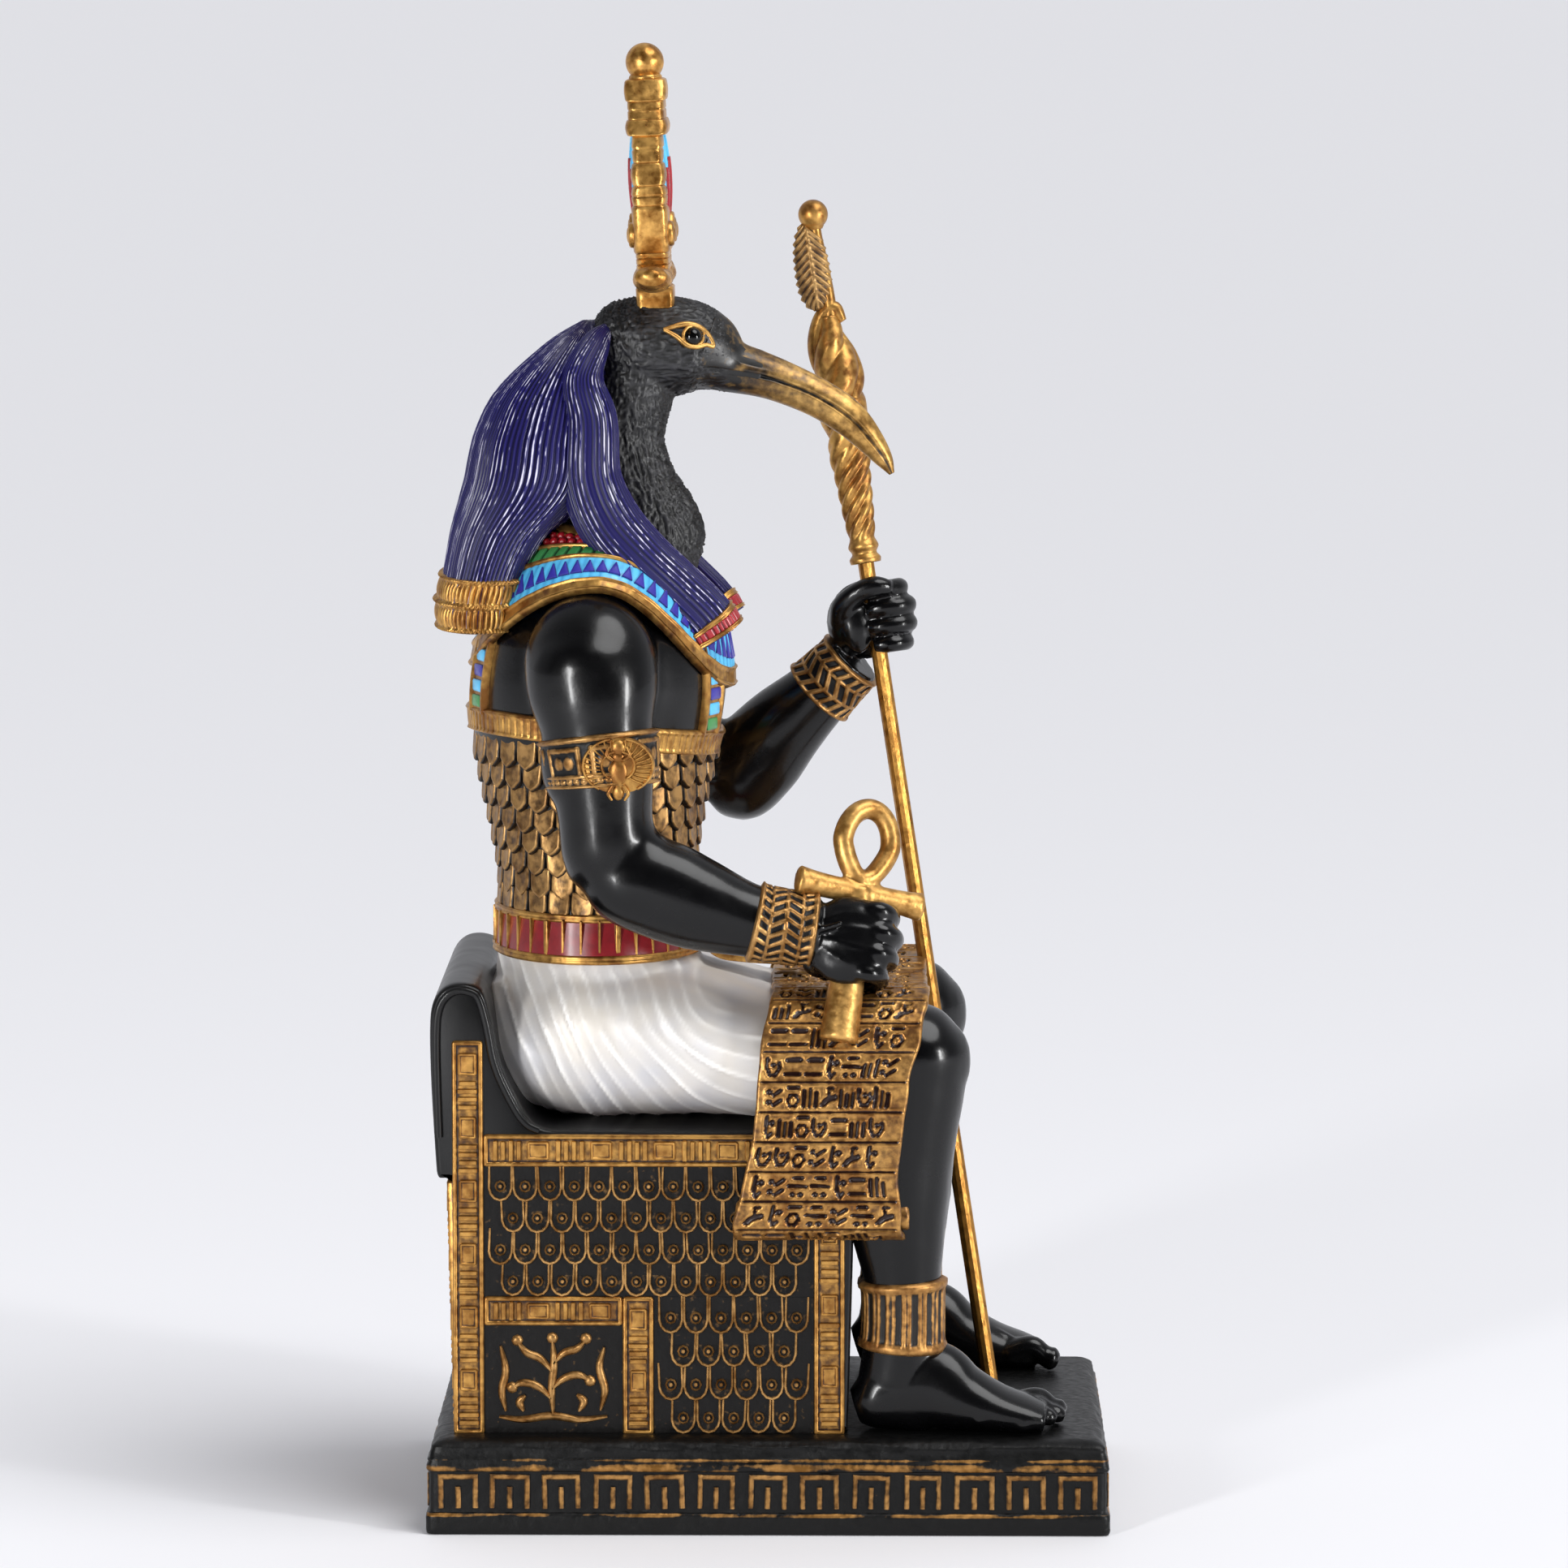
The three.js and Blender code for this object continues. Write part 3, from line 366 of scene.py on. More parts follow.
# %% Heights, closed skins and finished pieces
def grid_normals(grid):
    """Unit normals of a grid closed round, pointing away from the middle of each row."""
    turn = np.roll(grid, -1, 1) - np.roll(grid, 1, 1)
    normal = unit(np.cross(turn, np.gradient(grid, axis=0)))
    return normal * np.sign(((grid - grid.mean(1, keepdims=True)) * normal).sum(-1).mean())


def carve(grid, height):
    """The grid moved out along its normals by a height in millimetres."""
    return grid + grid_normals(grid) * np.broadcast_to(height, grid.shape[:2])[..., None]


def skin(grid, raised=0, loop=False, caps=True):
    """A shell from a grid closed round, faces outwards: closed along too (loop), or capped at its ends."""
    rows, cols, _ = grid.shape
    points = grid.reshape(-1, 3)
    marks = np.broadcast_to(raised, (rows, cols)).reshape(-1)
    ids = np.arange(rows * cols).reshape(rows, cols)
    low, top = (ids, np.roll(ids, -1, 0)) if loop else (ids[:-1], ids[1:])
    quads = np.stack([low, np.roll(low, -1, 1), np.roll(top, -1, 1), top], -1).reshape(-1, 4)
    tris = np.zeros((0, 3), int)
    if caps and not loop:
        points = np.vstack([points, grid[0].mean(0), grid[-1].mean(0)])
        marks = np.append(marks, [marks[0], marks[-1]])
        fan = np.stack([np.full(cols, rows * cols), np.roll(ids[0], -1), ids[0]], -1)
        shut = np.stack([np.full(cols, rows * cols + 1), ids[-1], np.roll(ids[-1], -1)], -1)
        tris = np.vstack([fan, shut])
    split = np.vstack([quads[:, [0, 1, 2]], quads[:, [0, 2, 3]], tris])
    p = points - points.mean(0)
    if (p[split[:, 0]] * np.cross(p[split[:, 1]], p[split[:, 2]])).sum() < 0:
        quads, tris = quads[:, ::-1], tris[:, ::-1]
    return points, quads, tris, marks


def band(grid, proud, profile, depth, sunk_edge=True):
    """A closed band laid on a grid: profile gives height and mark by share across it and angle."""
    share = np.linspace(0, 1, len(grid))[:, None] * np.ones((1, grid.shape[1]))
    height, marks = profile(share, turns(grid.shape[1]) * np.ones_like(share))
    if sunk_edge:
        height[[0, -1]] = -0.3
    normal = grid_normals(grid)
    foot = grid[[0, -1]] - normal[[0, -1]] * depth
    shell = np.concatenate([foot[:1], grid + normal * (proud + height)[..., None], foot[1:]])
    return skin(shell, np.pad(marks, ((1, 1), (0, 0))), loop=True)


def mark_raised(mesh, marks):
    """Keeps the height marks with the mesh, as the attribute that the paints read."""
    mark = mesh.attributes.new("raised", "FLOAT", "POINT")
    mark.data.foreach_set("value", clamp(marks).astype(np.float32))


def mesh_of(name, shells, scale=mm, lift=plinth_height):
    """One mesh from several shells, in metres."""
    start, loops, counts = 0, [], []
    for points, *faces, _ in shells:
        for kind in faces:
            if len(kind):
                loops.append((np.asarray(kind) + start).reshape(-1))
                counts.append(np.full(len(kind), np.shape(kind)[1]))
        start += len(points)
    loops, counts = np.concatenate(loops), np.concatenate(counts)
    mesh = bpy.data.meshes.new(name)
    mesh.vertices.add(start)
    placed = (np.vstack([s[0] for s in shells]) + [0, 0, lift]) * scale
    mesh.vertices.foreach_set("co", placed.astype(np.float32).reshape(-1))
    mesh.loops.add(len(loops))
    mesh.loops.foreach_set("vertex_index", loops.astype(np.int32))
    mesh.polygons.add(len(counts))
    mesh.polygons.foreach_set("loop_start", np.concatenate([[0], np.cumsum(counts)[:-1]]).astype(np.int32))
    mesh.update(calc_edges=True)
    mesh.validate()
    mark_raised(mesh, np.concatenate([s[3] for s in shells]))
    return mesh


def piece(name, form, paint, node="figure", sharp=None):
    """A finished piece from shells or a mesh: shaded, painted, riding on the root body."""
    mesh = mesh_of(name, form) if isinstance(form, list) else form
    made = new_object(name, mesh)
    mesh.shade_smooth()
    if sharp:
        mesh.set_sharp_from_angle(angle=radians(sharp))
    mesh.materials.clear()
    mesh.materials.append(paint)
    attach(made, "root")
    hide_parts(node)
    print(f"{name}: {sum(len(p.vertices) - 2 for p in mesh.polygons)} triangles")


# %% [markdown]
# ## Repeats with Geometry Nodes
# Frets, ribs, feathers, beads and scales are each one small carved shape set many times. One node tree puts
# a shape on every point of a mesh, turned and stretched as the point says, makes each one a little larger
# or smaller as handwork does, and paints it. The points are worked out from the surface under the shapes.


# %% The tree that sets a shape on points
def repeat_tree():
    """The node group, from its sockets to the painted instances."""
    tree = bpy.data.node_groups.new("set_shape_on_points", "GeometryNodeTree")
    sockets = (("Points", "Geometry", None), ("Shape", "Object", None), ("Size", "Float", 1),
        ("Unevenness", "Float", 0.04), ("Seed", "Int", 5), ("Paint", "Material", None))
    for label, kind, value in sockets:
        socket = tree.interface.new_socket(label, in_out="INPUT", socket_type="NodeSocket" + kind)
        if value is not None:
            socket.default_value = value
    tree.interface.new_socket("Geometry", in_out="OUTPUT", socket_type="NodeSocketGeometry")
    given = add(tree, "NodeGroupInput").node.outputs
    turn = add(tree, "GeometryNodeInputNamedAttribute", {"Name": "turn"}, data_type="FLOAT_VECTOR")
    stretch = add(tree, "GeometryNodeInputNamedAttribute", {"Name": "stretch"}, data_type="FLOAT_VECTOR")
    low = add(tree, "Math", {0: 1, 1: given["Unevenness"]}, operation="SUBTRACT")
    high = add(tree, "Math", {0: 1, 1: given["Unevenness"]}, operation="ADD")
    spread = {2: low, 3: high, "Seed": given["Seed"]}
    wobble = add(tree, "FunctionNodeRandomValue", spread, 1, data_type="FLOAT")
    size = add(tree, "Math", {0: wobble, 1: given["Size"]}, operation="MULTIPLY")
    scale = add(tree, "VectorMath", {0: stretch, "Scale": size}, operation="SCALE")
    turned = add(tree, "FunctionNodeEulerToRotation", {0: turn})
    shape = add(tree, "GeometryNodeObjectInfo", {"Object": given["Shape"]}, "Geometry")
    set_in = {"Points": given["Points"], "Instance": shape, "Rotation": turned, "Scale": scale}
    real = add(tree, "GeometryNodeRealizeInstances",
        {"Geometry": add(tree, "GeometryNodeInstanceOnPoints", set_in)})
    painted = add(tree, "GeometryNodeSetMaterial", {"Geometry": real, "Material": given["Paint"]})
    add(tree, "NodeGroupOutput", {0: painted})
    return tree


set_on_points = repeat_tree()
tree_inputs = {s.name: s.identifier for s in set_on_points.interface.items_tree if s.in_out == "INPUT"}
print("inputs of the repeat tree", tree_inputs)


# %% Setting a shape at spots
def spot(place, across, out, stretch=(1, 1, 1)):
    """One place for a repeated shape: its x axis lies along across, its z axis points out."""
    z = unit(out)
    x = unit(across - np.dot(across, z) * z)
    turn = Matrix(np.array([x, np.cross(z, x), z]).T.tolist())
    return place, list(turn.to_euler()), stretch


def evaluated_mesh(held):
    """The mesh that an object's modifiers give; the object itself is removed."""
    bpy.context.view_layer.update()
    mesh = bpy.data.meshes.new_from_object(held.evaluated_get(bpy.context.evaluated_depsgraph_get()))
    held.modifiers.clear()
    bpy.data.objects.remove(held)
    return mesh


def repeat(name, shells, spots, paint, uneven=0.04, sharp=40):
    """A finished piece made of one small shape set at every spot."""
    shape = new_object(name + "_shape", mesh_of(name + "_shape", shells, lift=0))
    points = bpy.data.meshes.new(name + "_points")
    places, turned, stretched = zip(*spots)
    points.from_pydata(((np.array(places) + [0, 0, plinth_height]) * mm).tolist(), [], [])
    for label, values in (("turn", turned), ("stretch", stretched)):
        held = points.attributes.new(label, "FLOAT_VECTOR", "POINT")
        held.data.foreach_set("vector", np.array(values, np.float32).reshape(-1))
    made = new_object(name + "_set", points)
    modifier = made.modifiers.new("set_shapes", "NODES")
    modifier.node_group = set_on_points
    given = {"Shape": shape, "Size": 1.0, "Unevenness": uneven, "Seed": 5, "Paint": paint}
    for label, value in given.items():
        modifier[tree_inputs[label]] = value
    mesh = evaluated_mesh(made)
    bpy.data.objects.remove(shape)
    print(name, "is set", len(spots), "times")
    piece(name, mesh, paint, sharp=sharp)


# %% Flat carved shapes
def onto(shell, origin, x_axis, y_axis, z_axis):
    """A shell made flat, moved so that its own x, y and z lie along the given axes."""
    turn = np.array([x_axis, y_axis, z_axis], float)
    flip = -1 if np.linalg.det(turn) < 0 else 1
    return shell[0] @ turn + origin, shell[1][:, ::flip], shell[2][:, ::flip], shell[3]


def inward_of(outline):
    """Unit vectors into a closed flat outline, one at each of its points."""
    turn = np.roll(outline, -1, 0) - np.roll(outline, 1, 0)
    inward = unit(np.stack([-turn[:, 1], turn[:, 0]], -1))
    return inward * np.sign((inward * (outline.mean(0) - outline)).sum())


def plate(outline, steps):
    """A low carved plate: rings at [inset, height, raised] from the base to the middle."""
    outline = np.asarray(outline, float)
    inward = inward_of(outline)
    rings = [np.column_stack([outline + inward * inset, np.full(len(outline), h)]) for inset, h, _ in steps]
    return skin(np.stack(rings), [[raised] for _, _, raised in steps])


def rounded_box(x0, x1, y0, y1, corner, arc=2):
    """Outline of a rectangle with rounded corners."""
    middles = ((x1 - corner, y1 - corner), (x0 + corner, y1 - corner), (x0 + corner, y0 + corner),
        (x1 - corner, y0 + corner))
    bends = [(middle, (turn + k / arc) * pi / 2) for turn, middle in enumerate(middles)
        for k in range(arc + 1)]
    return [(x + corner * cos(a), y + corner * sin(a)) for (x, y), a in bends]


def box_plate(x0, x1, y0, y1, corner, steps, arc=2):
    """A low plate on a soft-cornered rectangle; steps as in plate, with corners that stay clean."""
    rings = []
    for inset, height, _ in steps:
        ring = rounded_box(x0 + inset, x1 - inset, y0 + inset, y1 - inset, max(corner - inset, 0.04), arc)
        rings.append(np.column_stack([ring, np.full(len(ring), height)]))
    return skin(np.stack(rings), [[raised] for _, _, raised in steps])


def ribbon(path, half, height, base=-0.4, taper=False, soft=True):
    """A raised stroke along a flat path: a low bar, mitred at the corners; soft rounds its top."""
    path = np.asarray(path, float)
    step = unit(np.diff(path, axis=0))
    ahead = np.vstack([step, step[-1:]])
    behind = np.vstack([step[:1], step])
    normal = unit(np.stack([-(ahead + behind)[:, 1], (ahead + behind)[:, 0]], -1))
    stretch = 1 / np.maximum(0.5, (normal * np.stack([-ahead[:, 1], ahead[:, 0]], -1)).sum(-1))
    if taper:
        stretch = stretch * np.sin(np.linspace(0.15, pi - 0.15, len(path))) ** 0.6
    half_profile = [(-1, base, 0.1), (-1, height * 0.45, 0.7), (-0.45, height, 1)]
    if not soft:
        half_profile = [(-1.1, base, 0.1), (-0.5, height, 1)]
    profile = half_profile + [(-side, z, mark) for side, z, mark in reversed(half_profile)]
    sides, heights, marks = np.array(profile).T
    flat = path[:, None] + normal[:, None] * (sides * half * stretch[:, None])[..., None]
    return skin(np.dstack([flat, np.broadcast_to(heights, flat.shape[:2])]), marks)


def dome(radius, height, sides=8, ring=False):
    """A small lathe-turned boss; with ring it is a ring round a dot."""
    profile = [(1, -0.4, 0.2), (0.96, 0.3, 0.7), (0.72, 0.8, 1), (0.34, 1, 1)]
    if ring:
        profile = [(1, -0.3, 0), (1, 0.45, 0.8), (0.78, 1, 1), (0.6, 0.3, 0), (0.38, 0.35, 0.2),
            (0.28, 1, 1)]
    out, high, raised = np.array(profile, float).T[..., None]
    a = turns(sides)
    grid = np.stack([radius * out * np.cos(a), radius * out * np.sin(a), height * high + 0 * a], -1)
    return skin(grid, raised)


# %% [markdown]
# ## Plinth
# A rectangular plinth with a plain foot, a sunk band of key frets under a bead, and a bevelled top. It was
# modelled by hand in wax, so its faces are not quite flat: a slow noise of a few tenths of a millimetre is
# carved into them. The gold lines are dry-brushed, and fade where the brush ran out.


# %% Plinth block
plinth_length, plinth_width, corner_radius = 138.5, 90.0, 1.2
band_bottom, band_top, tier_back = 4.4, 13.0, 0.7
tier_top = plinth_height - 2.6
points_along, points_across = 112, 74


def hand_noise(points, size, seed=0):
    """Slow noise of about -1..1 at each point, for surfaces smoothed by hand."""
    flat = points.reshape(-1, 3) / size + seed
    return np.array([noise.noise(p) for p in flat.tolist()]).reshape(points.shape[:-1])


def plinth_ring(back, z):
    """Points round the plinth's outline at one height, stood back, with rounded corners."""
    half = np.array([plinth_length / 2 - back, plinth_width / 2 - back])
    x, y = (np.linspace(-1, 1, count, endpoint=False) for count in (points_along, points_across))
    one, two = np.ones(points_along), np.ones(points_across)
    faces = ((x, -one), (two, y), (-x, one), (-two, -y))
    ring = np.concatenate([np.stack(pair, -1) for pair in faces]) * half
    inner = np.clip(ring, corner_radius - half, half - corner_radius)
    away = ring - inner
    reach = np.maximum(np.linalg.norm(away, axis=1, keepdims=True), 1e-9)
    ring = np.where(reach > corner_radius, inner + away / reach * corner_radius, ring)
    return np.column_stack([ring, np.full(len(ring), z)])


# Each row is a height, how far it stands back and how raised it is.
profile = [(0, 0.9, 0), (0.25, 0.3, 0), (0.9, 0.05, 0)]
profile += [(z, 0.05, 0) for z in np.arange(1.5, band_bottom - 0.6, 0.5)]
profile += [(band_bottom - 0.5, 0.12, 0.9), (band_bottom - 0.1, 0.3, 1),
    (band_bottom + 0.2, tier_back + 0.1, 0.1)]
profile += [(z, tier_back + 0.15, 0.26) for z in np.arange(band_bottom + 0.6, band_top - 0.5, 0.5)]
profile += [(band_top - 0.1, tier_back + 0.1, 0.1), (band_top + 0.15, 0.42, 0.9), (band_top + 0.6, 0.25, 1)]
profile += [(band_top + 1.3, 0.3, 0.8), (band_top + 1.8, 0.5, 0.3), (band_top + 2.4, 0.45, 0.9)]
profile += [(band_top + 2.8, 0.8, 0.2), (tier_top, 0.9, 0)]
bevel = np.linspace(0.15, pi / 2, 14)
profile += [(tier_top + 2.45 * sin(a), 0.9 + 3.7 * (1 - cos(a)), 0) for a in bevel]
profile += [(plinth_height - 0.12, 6, 0), (plinth_height - 0.08, 14, 0), (plinth_height - 0.06, 26, 0)]
rings = np.array([plinth_ring(back, z) for z, back, _ in profile])
height, _, raised = np.array(profile)[:, :, None].transpose(1, 0, 2)
wave = hand_noise(rings, 13) * 0.28 + hand_noise(rings, 3) * 0.16
wave = wave + hand_noise(rings * [1, 1, 11], 14, 8) * 0.7 * (height > band_top + 1.2)
sunk = np.clip(-np.abs(wave), -0.6, 0) * (height > 0.3)
rings = rings + unit(rings * [1, 1, 0]) * sunk[..., None]
worn = clamp(0.62 + 1.1 * hand_noise(rings * [1, 1, 4], 9, 5))
plinth_paint = gold_paint("black_plinth_with_worn_gold_lines", "#050505", "#7c5628", "#b3844a", 0.3, 0.36,
    0, 0.8, 0.35, 1.2, 0.26)
plinth_mesh = mesh_of("plinth", [skin(rings, raised * worn)], lift=0)
piece("plinth", plinth_mesh, plinth_paint, sharp=50)

# %% Key frets round the plinth
up = np.array([0, 0, 1.0])
fret_pitch, fret_line = 10.3, 0.55
right, top = 3.4, 3.2
fret = [ribbon([(-right, -top), (-right, top), (right, top), (right, -top)], fret_line, 0.6),
    ribbon([(0, -top), (0, top - 2)], fret_line, 0.6)]
fret_spots = []
fret_middle = (band_bottom + band_top) / 2 - plinth_height
for length, depth, along_x in ((plinth_length, plinth_width, True), (plinth_width, plinth_length, False)):
    count = int((length - 4) / fret_pitch)
    for i in range(count):
        along = (i - (count - 1) / 2) * (length - 3) / count
        for side in (-1, 1):
            stand = side * (depth / 2 - tier_back - 0.15)
            out = (0, side, 0) if along_x else (side, 0, 0)
            across = np.cross(up, out) + rng.uniform(-0.03, 0.03) * up
            place = (along, stand, fret_middle) if along_x else (stand, along, fret_middle)
            fret_spots.append(spot(place, across, out, (rng.uniform(0.94, 1.04), 1, 0.8)))
fret_gold = gold_paint("worn_gold_on_frets", "#090706", "#714d26", "#b58850", 0.04, 0.34, 0.1, 0.8, 0.35, 1,
    0.3)
repeat("plinth_frets", fret, fret_spots, fret_gold, uneven=0.02)

# %% [markdown]
# ## Throne
# The throne is a block whose back curls over under a hanging cover. Its sides carry raised gold strips, cut
# with groups of ribs between small tablets, round panels of hanging feathers with a ring and a dot in each.
# The block is a side outline carried across the width with softened edges. The small square at the rear is
# filled with a plain growing plant.

# %% Throne block
throne_half = 36.5


def rounded_path(points):
    """A closed outline with its corners cut softer twice."""
    points = np.asarray(points, float)
    for _ in range(2):
        ahead = np.roll(points, -1, 0)
        points = np.stack([points * 0.75 + ahead * 0.25, points * 0.25 + ahead * 0.75], 1).reshape(-1, 2)
    return points


def side_face(side, proud=0, x=0, z=0):
    """Origin and axes that lay a flat shape, drawn in x and z, on one side of the throne."""
    return (x, side * (throne_half + proud), z), (1, 0, 0), (0, 0, 1), (0, side, 0)


throne_outline = [(-62.5, -0.4), (-62.7, 8), (-63.7, 44), (-63.9, 51), (-63.9, 52), (-65.4, 52),
    (-66.9, 52), (-67.2, 56), (-68.1, 72), (-68.3, 84), (-67.6, 88.4), (-65.3, 91.2), (-62.3, 92),
    (-59.1, 91.4), (-57.1, 90), (-55.4, 83), (-54.3, 76), (-51.5, 69.8), (-48.3, 63.8), (-44.9, 61.8),
    (-38, 61.8), (12, 61.8), (17.2, 61.8), (17.4, 60), (17.3, 41), (16.1, 1), (16, -0.4)]
throne_side = rounded_path(throne_outline)
inward = inward_of(throne_side)
edge_rows = [(throne_half, 0.9), (throne_half - 0.2, 0.35), (throne_half - 0.8, 0.05)]
inner_rows = [(y, 0) for y in np.linspace(throne_half - 3, -throne_half + 3, 30)]
rows = edge_rows + inner_rows + [(-y, inset) for y, inset in reversed(edge_rows)]
block = np.array([np.insert(throne_side + inward * inset, 1, y, axis=1) for y, inset in rows])
points, quads, _, marks = skin(block, caps=False)
cols = block.shape[1]
flat_ends = np.stack([np.arange(cols), np.arange(cols)[::-1] + (len(rows) - 1) * cols])
piece("throne_block", [(points, quads, flat_ends, marks)], throne_black, sharp=45)

# %% Raised edge of the cover, on both sides
cover_path = [(-66.3, 53.6), (-66.9, 72), (-67, 83.6), (-66.2, 87.6), (-64.4, 89.8), (-62.2, 90.6)]
cover_path += [(-59.6, 90.1), (-58.2, 89), (-56.6, 82.8), (-55.5, 75.6), (-52.6, 69), (-49.4, 63.4),
    (-46.2, 61.9), (-45.2, 61.9)]
stroke = ribbon(rounded_path(cover_path)[:-8], 0.8, 0.8)
cover_strokes = [onto(stroke, *side_face(side)) for side in (-1, 1)]
piece("cover_edge", cover_strokes, throne_black, sharp=50)

# %% Gold strips and panel grounds
strip_proud = 0.8
strip_boxes = [(-63.8, -57.5, -0.4, 80.3), (9.2, 15.5, -0.4, 61.4), (-57.5, 9.2, 54.6, 61.2),
    (-57.5, -29.5, 22, 28), (-29.5, -23.2, -0.4, 28)]
strip_steps = [(0, -0.5, 0.1), (0.05, strip_proud * 0.8, 0.6), (0.3, strip_proud + 0.1, 1)]
strip_steps += [(0.75, strip_proud + 0.1, 1), (1, strip_proud - 0.45, 0), (1.5, strip_proud - 0.4, 0.3)]
panel_boxes = [(-57.6, 9.3, 27.9, 54.7), (-23.3, 9.3, -0.3, 28), (-57.6, -29.4, -0.3, 22.1)]
panel_steps = [(0, -0.4, 0), (0.1, 0.12, 0.1)]
back_boxes = [(-36.4, -30.2, -0.3, 51.6), (30.2, 36.4, -0.3, 51.6), (-30.2, 30.2, -0.3, 6)]
back_x, back_slope = -62.8, -0.024
back_face = ((back_x, 0, 0), (0, 1, 0), (back_slope, 0, 1), (-1, 0, 0))
strips = [onto(box_plate(*b, 0.6, strip_steps), *side_face(side)) for side in (-1, 1) for b in strip_boxes]
strips += [onto(box_plate(*b, 0.6, strip_steps), *back_face) for b in back_boxes]
grounds = [onto(box_plate(*b, 0.2, panel_steps), *side_face(side)) for side in (-1, 1) for b in panel_boxes]
piece("throne_strips", strips, strip_gold, sharp=60)
piece("throne_panels", grounds, brushed_gold, sharp=12)

# %% Ribs and tablets on the strips
rib = [box_plate(-2, 2, -0.56, 0.56, 0.25, [(0, -0.4, 0), (0.05, 0.25, 0.3), (0.2, 0.6, 1)], 1)]
tablet_steps = [(0, -0.4, 0), (0.05, 0.3, 0.5), (0.22, 0.6, 1), (0.5, 0.58, 1), (0.68, 0.3, 0.1),
    (1, 0.34, 0.6)]
tablet = [box_plate(-1.9, 1.9, -2.3, 2.3, 0.4, tablet_steps, 1)]
rib_spots, tablet_spots = [], []
rib_group, rib_pitch, tablet_long = 4, 1.5, 4.6


def cut_strip(box, place, side_axis, out):
    """Groups of ribs between tablets along the longer side of a strip."""
    x0, x1, z0, z1 = box
    upright = z1 - z0 > x1 - x0
    low, high = (z0, z1) if upright else (x0, x1)
    cycle = rib_group * rib_pitch + tablet_long + 1.4
    count = max(1, int((high - low - 3) / cycle))
    step = (high - low - 3) / count
    wide = (x1 - x0 if upright else z1 - z0) / 6.3
    for i in range(count):
        start = low + 1.5 + i * step
        cells = [(start + 0.9 + k * rib_pitch * step / cycle, rib_spots) for k in range(rib_group)]
        cells.append((start + rib_group * rib_pitch * step / cycle + tablet_long * 0.5 + 0.9, tablet_spots))
        for value, kept in cells:
            flat = ((x0 + x1) / 2, value) if upright else (value, (z0 + z1) / 2)
            size = (wide * rng.uniform(0.9, 1.05), 1, 1)
            kept.append(spot(place(*flat), side_axis if upright else up, out, size))


def on_side(side, proud):
    """What turns a place in the side view into one over that side of the throne."""
    return lambda x, z: (x, side * (throne_half + proud), z)


def on_back(proud):
    return lambda y, z: (back_x + back_slope * z - proud, y, z)


for side in (-1, 1):
    for box in strip_boxes:
        cut_strip(box, on_side(side, strip_proud - 0.3), (1, 0, 0), (0, side, 0))
for box in back_boxes[:2]:
    cut_strip(box, on_back(strip_proud - 0.3), (0, 1, 0), (-1, 0, 0))
repeat("strip_ribs", rib, rib_spots, strip_gold)
repeat("strip_tablets", tablet, tablet_spots, strip_gold)

# %% Feathers of the panels
feather_wide, feather_tall = 5.1, 6.3
lobe = [(-2.3, 3.6), (-2.3, -0.9), (-1.95, -2), (-1.15, -2.85), (0, -3.2)]
lobe = lobe + [(-x, z) for x, z in reversed(lobe[:-1])]
feather = [plate(lobe, [(0, -0.5, 0), (0.05, 0.1, 0.15)]), ribbon(lobe, 0.33, 0.6, base=-0.3, soft=False),
    onto(dome(1.2, 0.66, 8, ring=True), (0, -0.5, 0.1), *np.eye(3))]
feather_spots = []


def hang_feathers(x0, x1, z0, z1, place, across, out):
    """Rows of feathers over a panel, every other row moved by half a feather."""
    rows = max(1, round((z1 - z0) / feather_tall))
    count = max(1, round((x1 - x0) / feather_wide))
    pitch, drop = (x1 - x0) / count, (z1 - z0) / rows
    size = (pitch / feather_wide, drop / feather_tall, 1)
    for r in range(rows):
        for i in range(count - r % 2):
            at = place(x0 + (i + 0.5 + 0.5 * (r % 2)) * pitch, z1 - (r + 0.5) * drop)
            lay = across + 0.05 * rng.uniform(-1, 1) * up
            feather_spots.append(spot(at, lay, out + 0.1 * up, size))


for side in (-1, 1):
    for x0, x1, z0, z1 in panel_boxes[:2]:
        inside = (x0 + 1, x1 - 1, z0 + 0.4, z1 - 0.4)
        hang_feathers(*inside, on_side(side, 0.1), (-side, 0, 0), (0, side, 0))
hang_feathers(-29.5, 29.5, 6.6, 51, on_back(0.05), (0, -1, 0), (-1, 0, 0))
repeat("throne_feathers", feather, feather_spots, brushed_gold, uneven=0.03)

# %% A growing plant in the small square
plant_strokes = [[(-54.5, 3.2), (-50, 2.6), (-44, 3.4), (-38, 2.6), (-32.6, 3.3)],
    [(-43.6, 3.6), (-43.9, 9), (-43.4, 14.6), (-43.7, 18.8)], [(-44, 7), (-46.6, 9.4), (-49.6, 10.2),
    (-51.8, 9.4)], [(-43.8, 9), (-41.2, 11.2), (-38.4, 11.8), (-36.2, 10.8)], [(-43.8, 12.6), (-46.2, 15.2),
    (-48.9, 16.4), (-50.6, 18.4)], [(-43.5, 14.2), (-41.3, 16.4), (-38.8, 17.2), (-37, 19)],
    [(-53.2, 4.4), (-54, 8.4), (-53.2, 12.6), (-54.2, 17.8)], [(-34, 4.6), (-33.1, 8.8), (-34.2, 13.4),
    (-33.2, 17.6)], [(-49.6, 4.4), (-50.4, 6.2), (-49.2, 7.6)], [(-38.4, 4.4), (-37.4, 6.4), (-38.8, 7.8)]]
plant = []
for stroke in plant_strokes:
    path = smooth_rows([[x, z, 0, 0, 0] for x, z in stroke], np.linspace(0, 1, 4 * len(stroke)))[:, :2]
    plant += [onto(ribbon(path, 0.8, 0.85, taper=True), *side_face(side, 0.1)) for side in (-1, 1)]
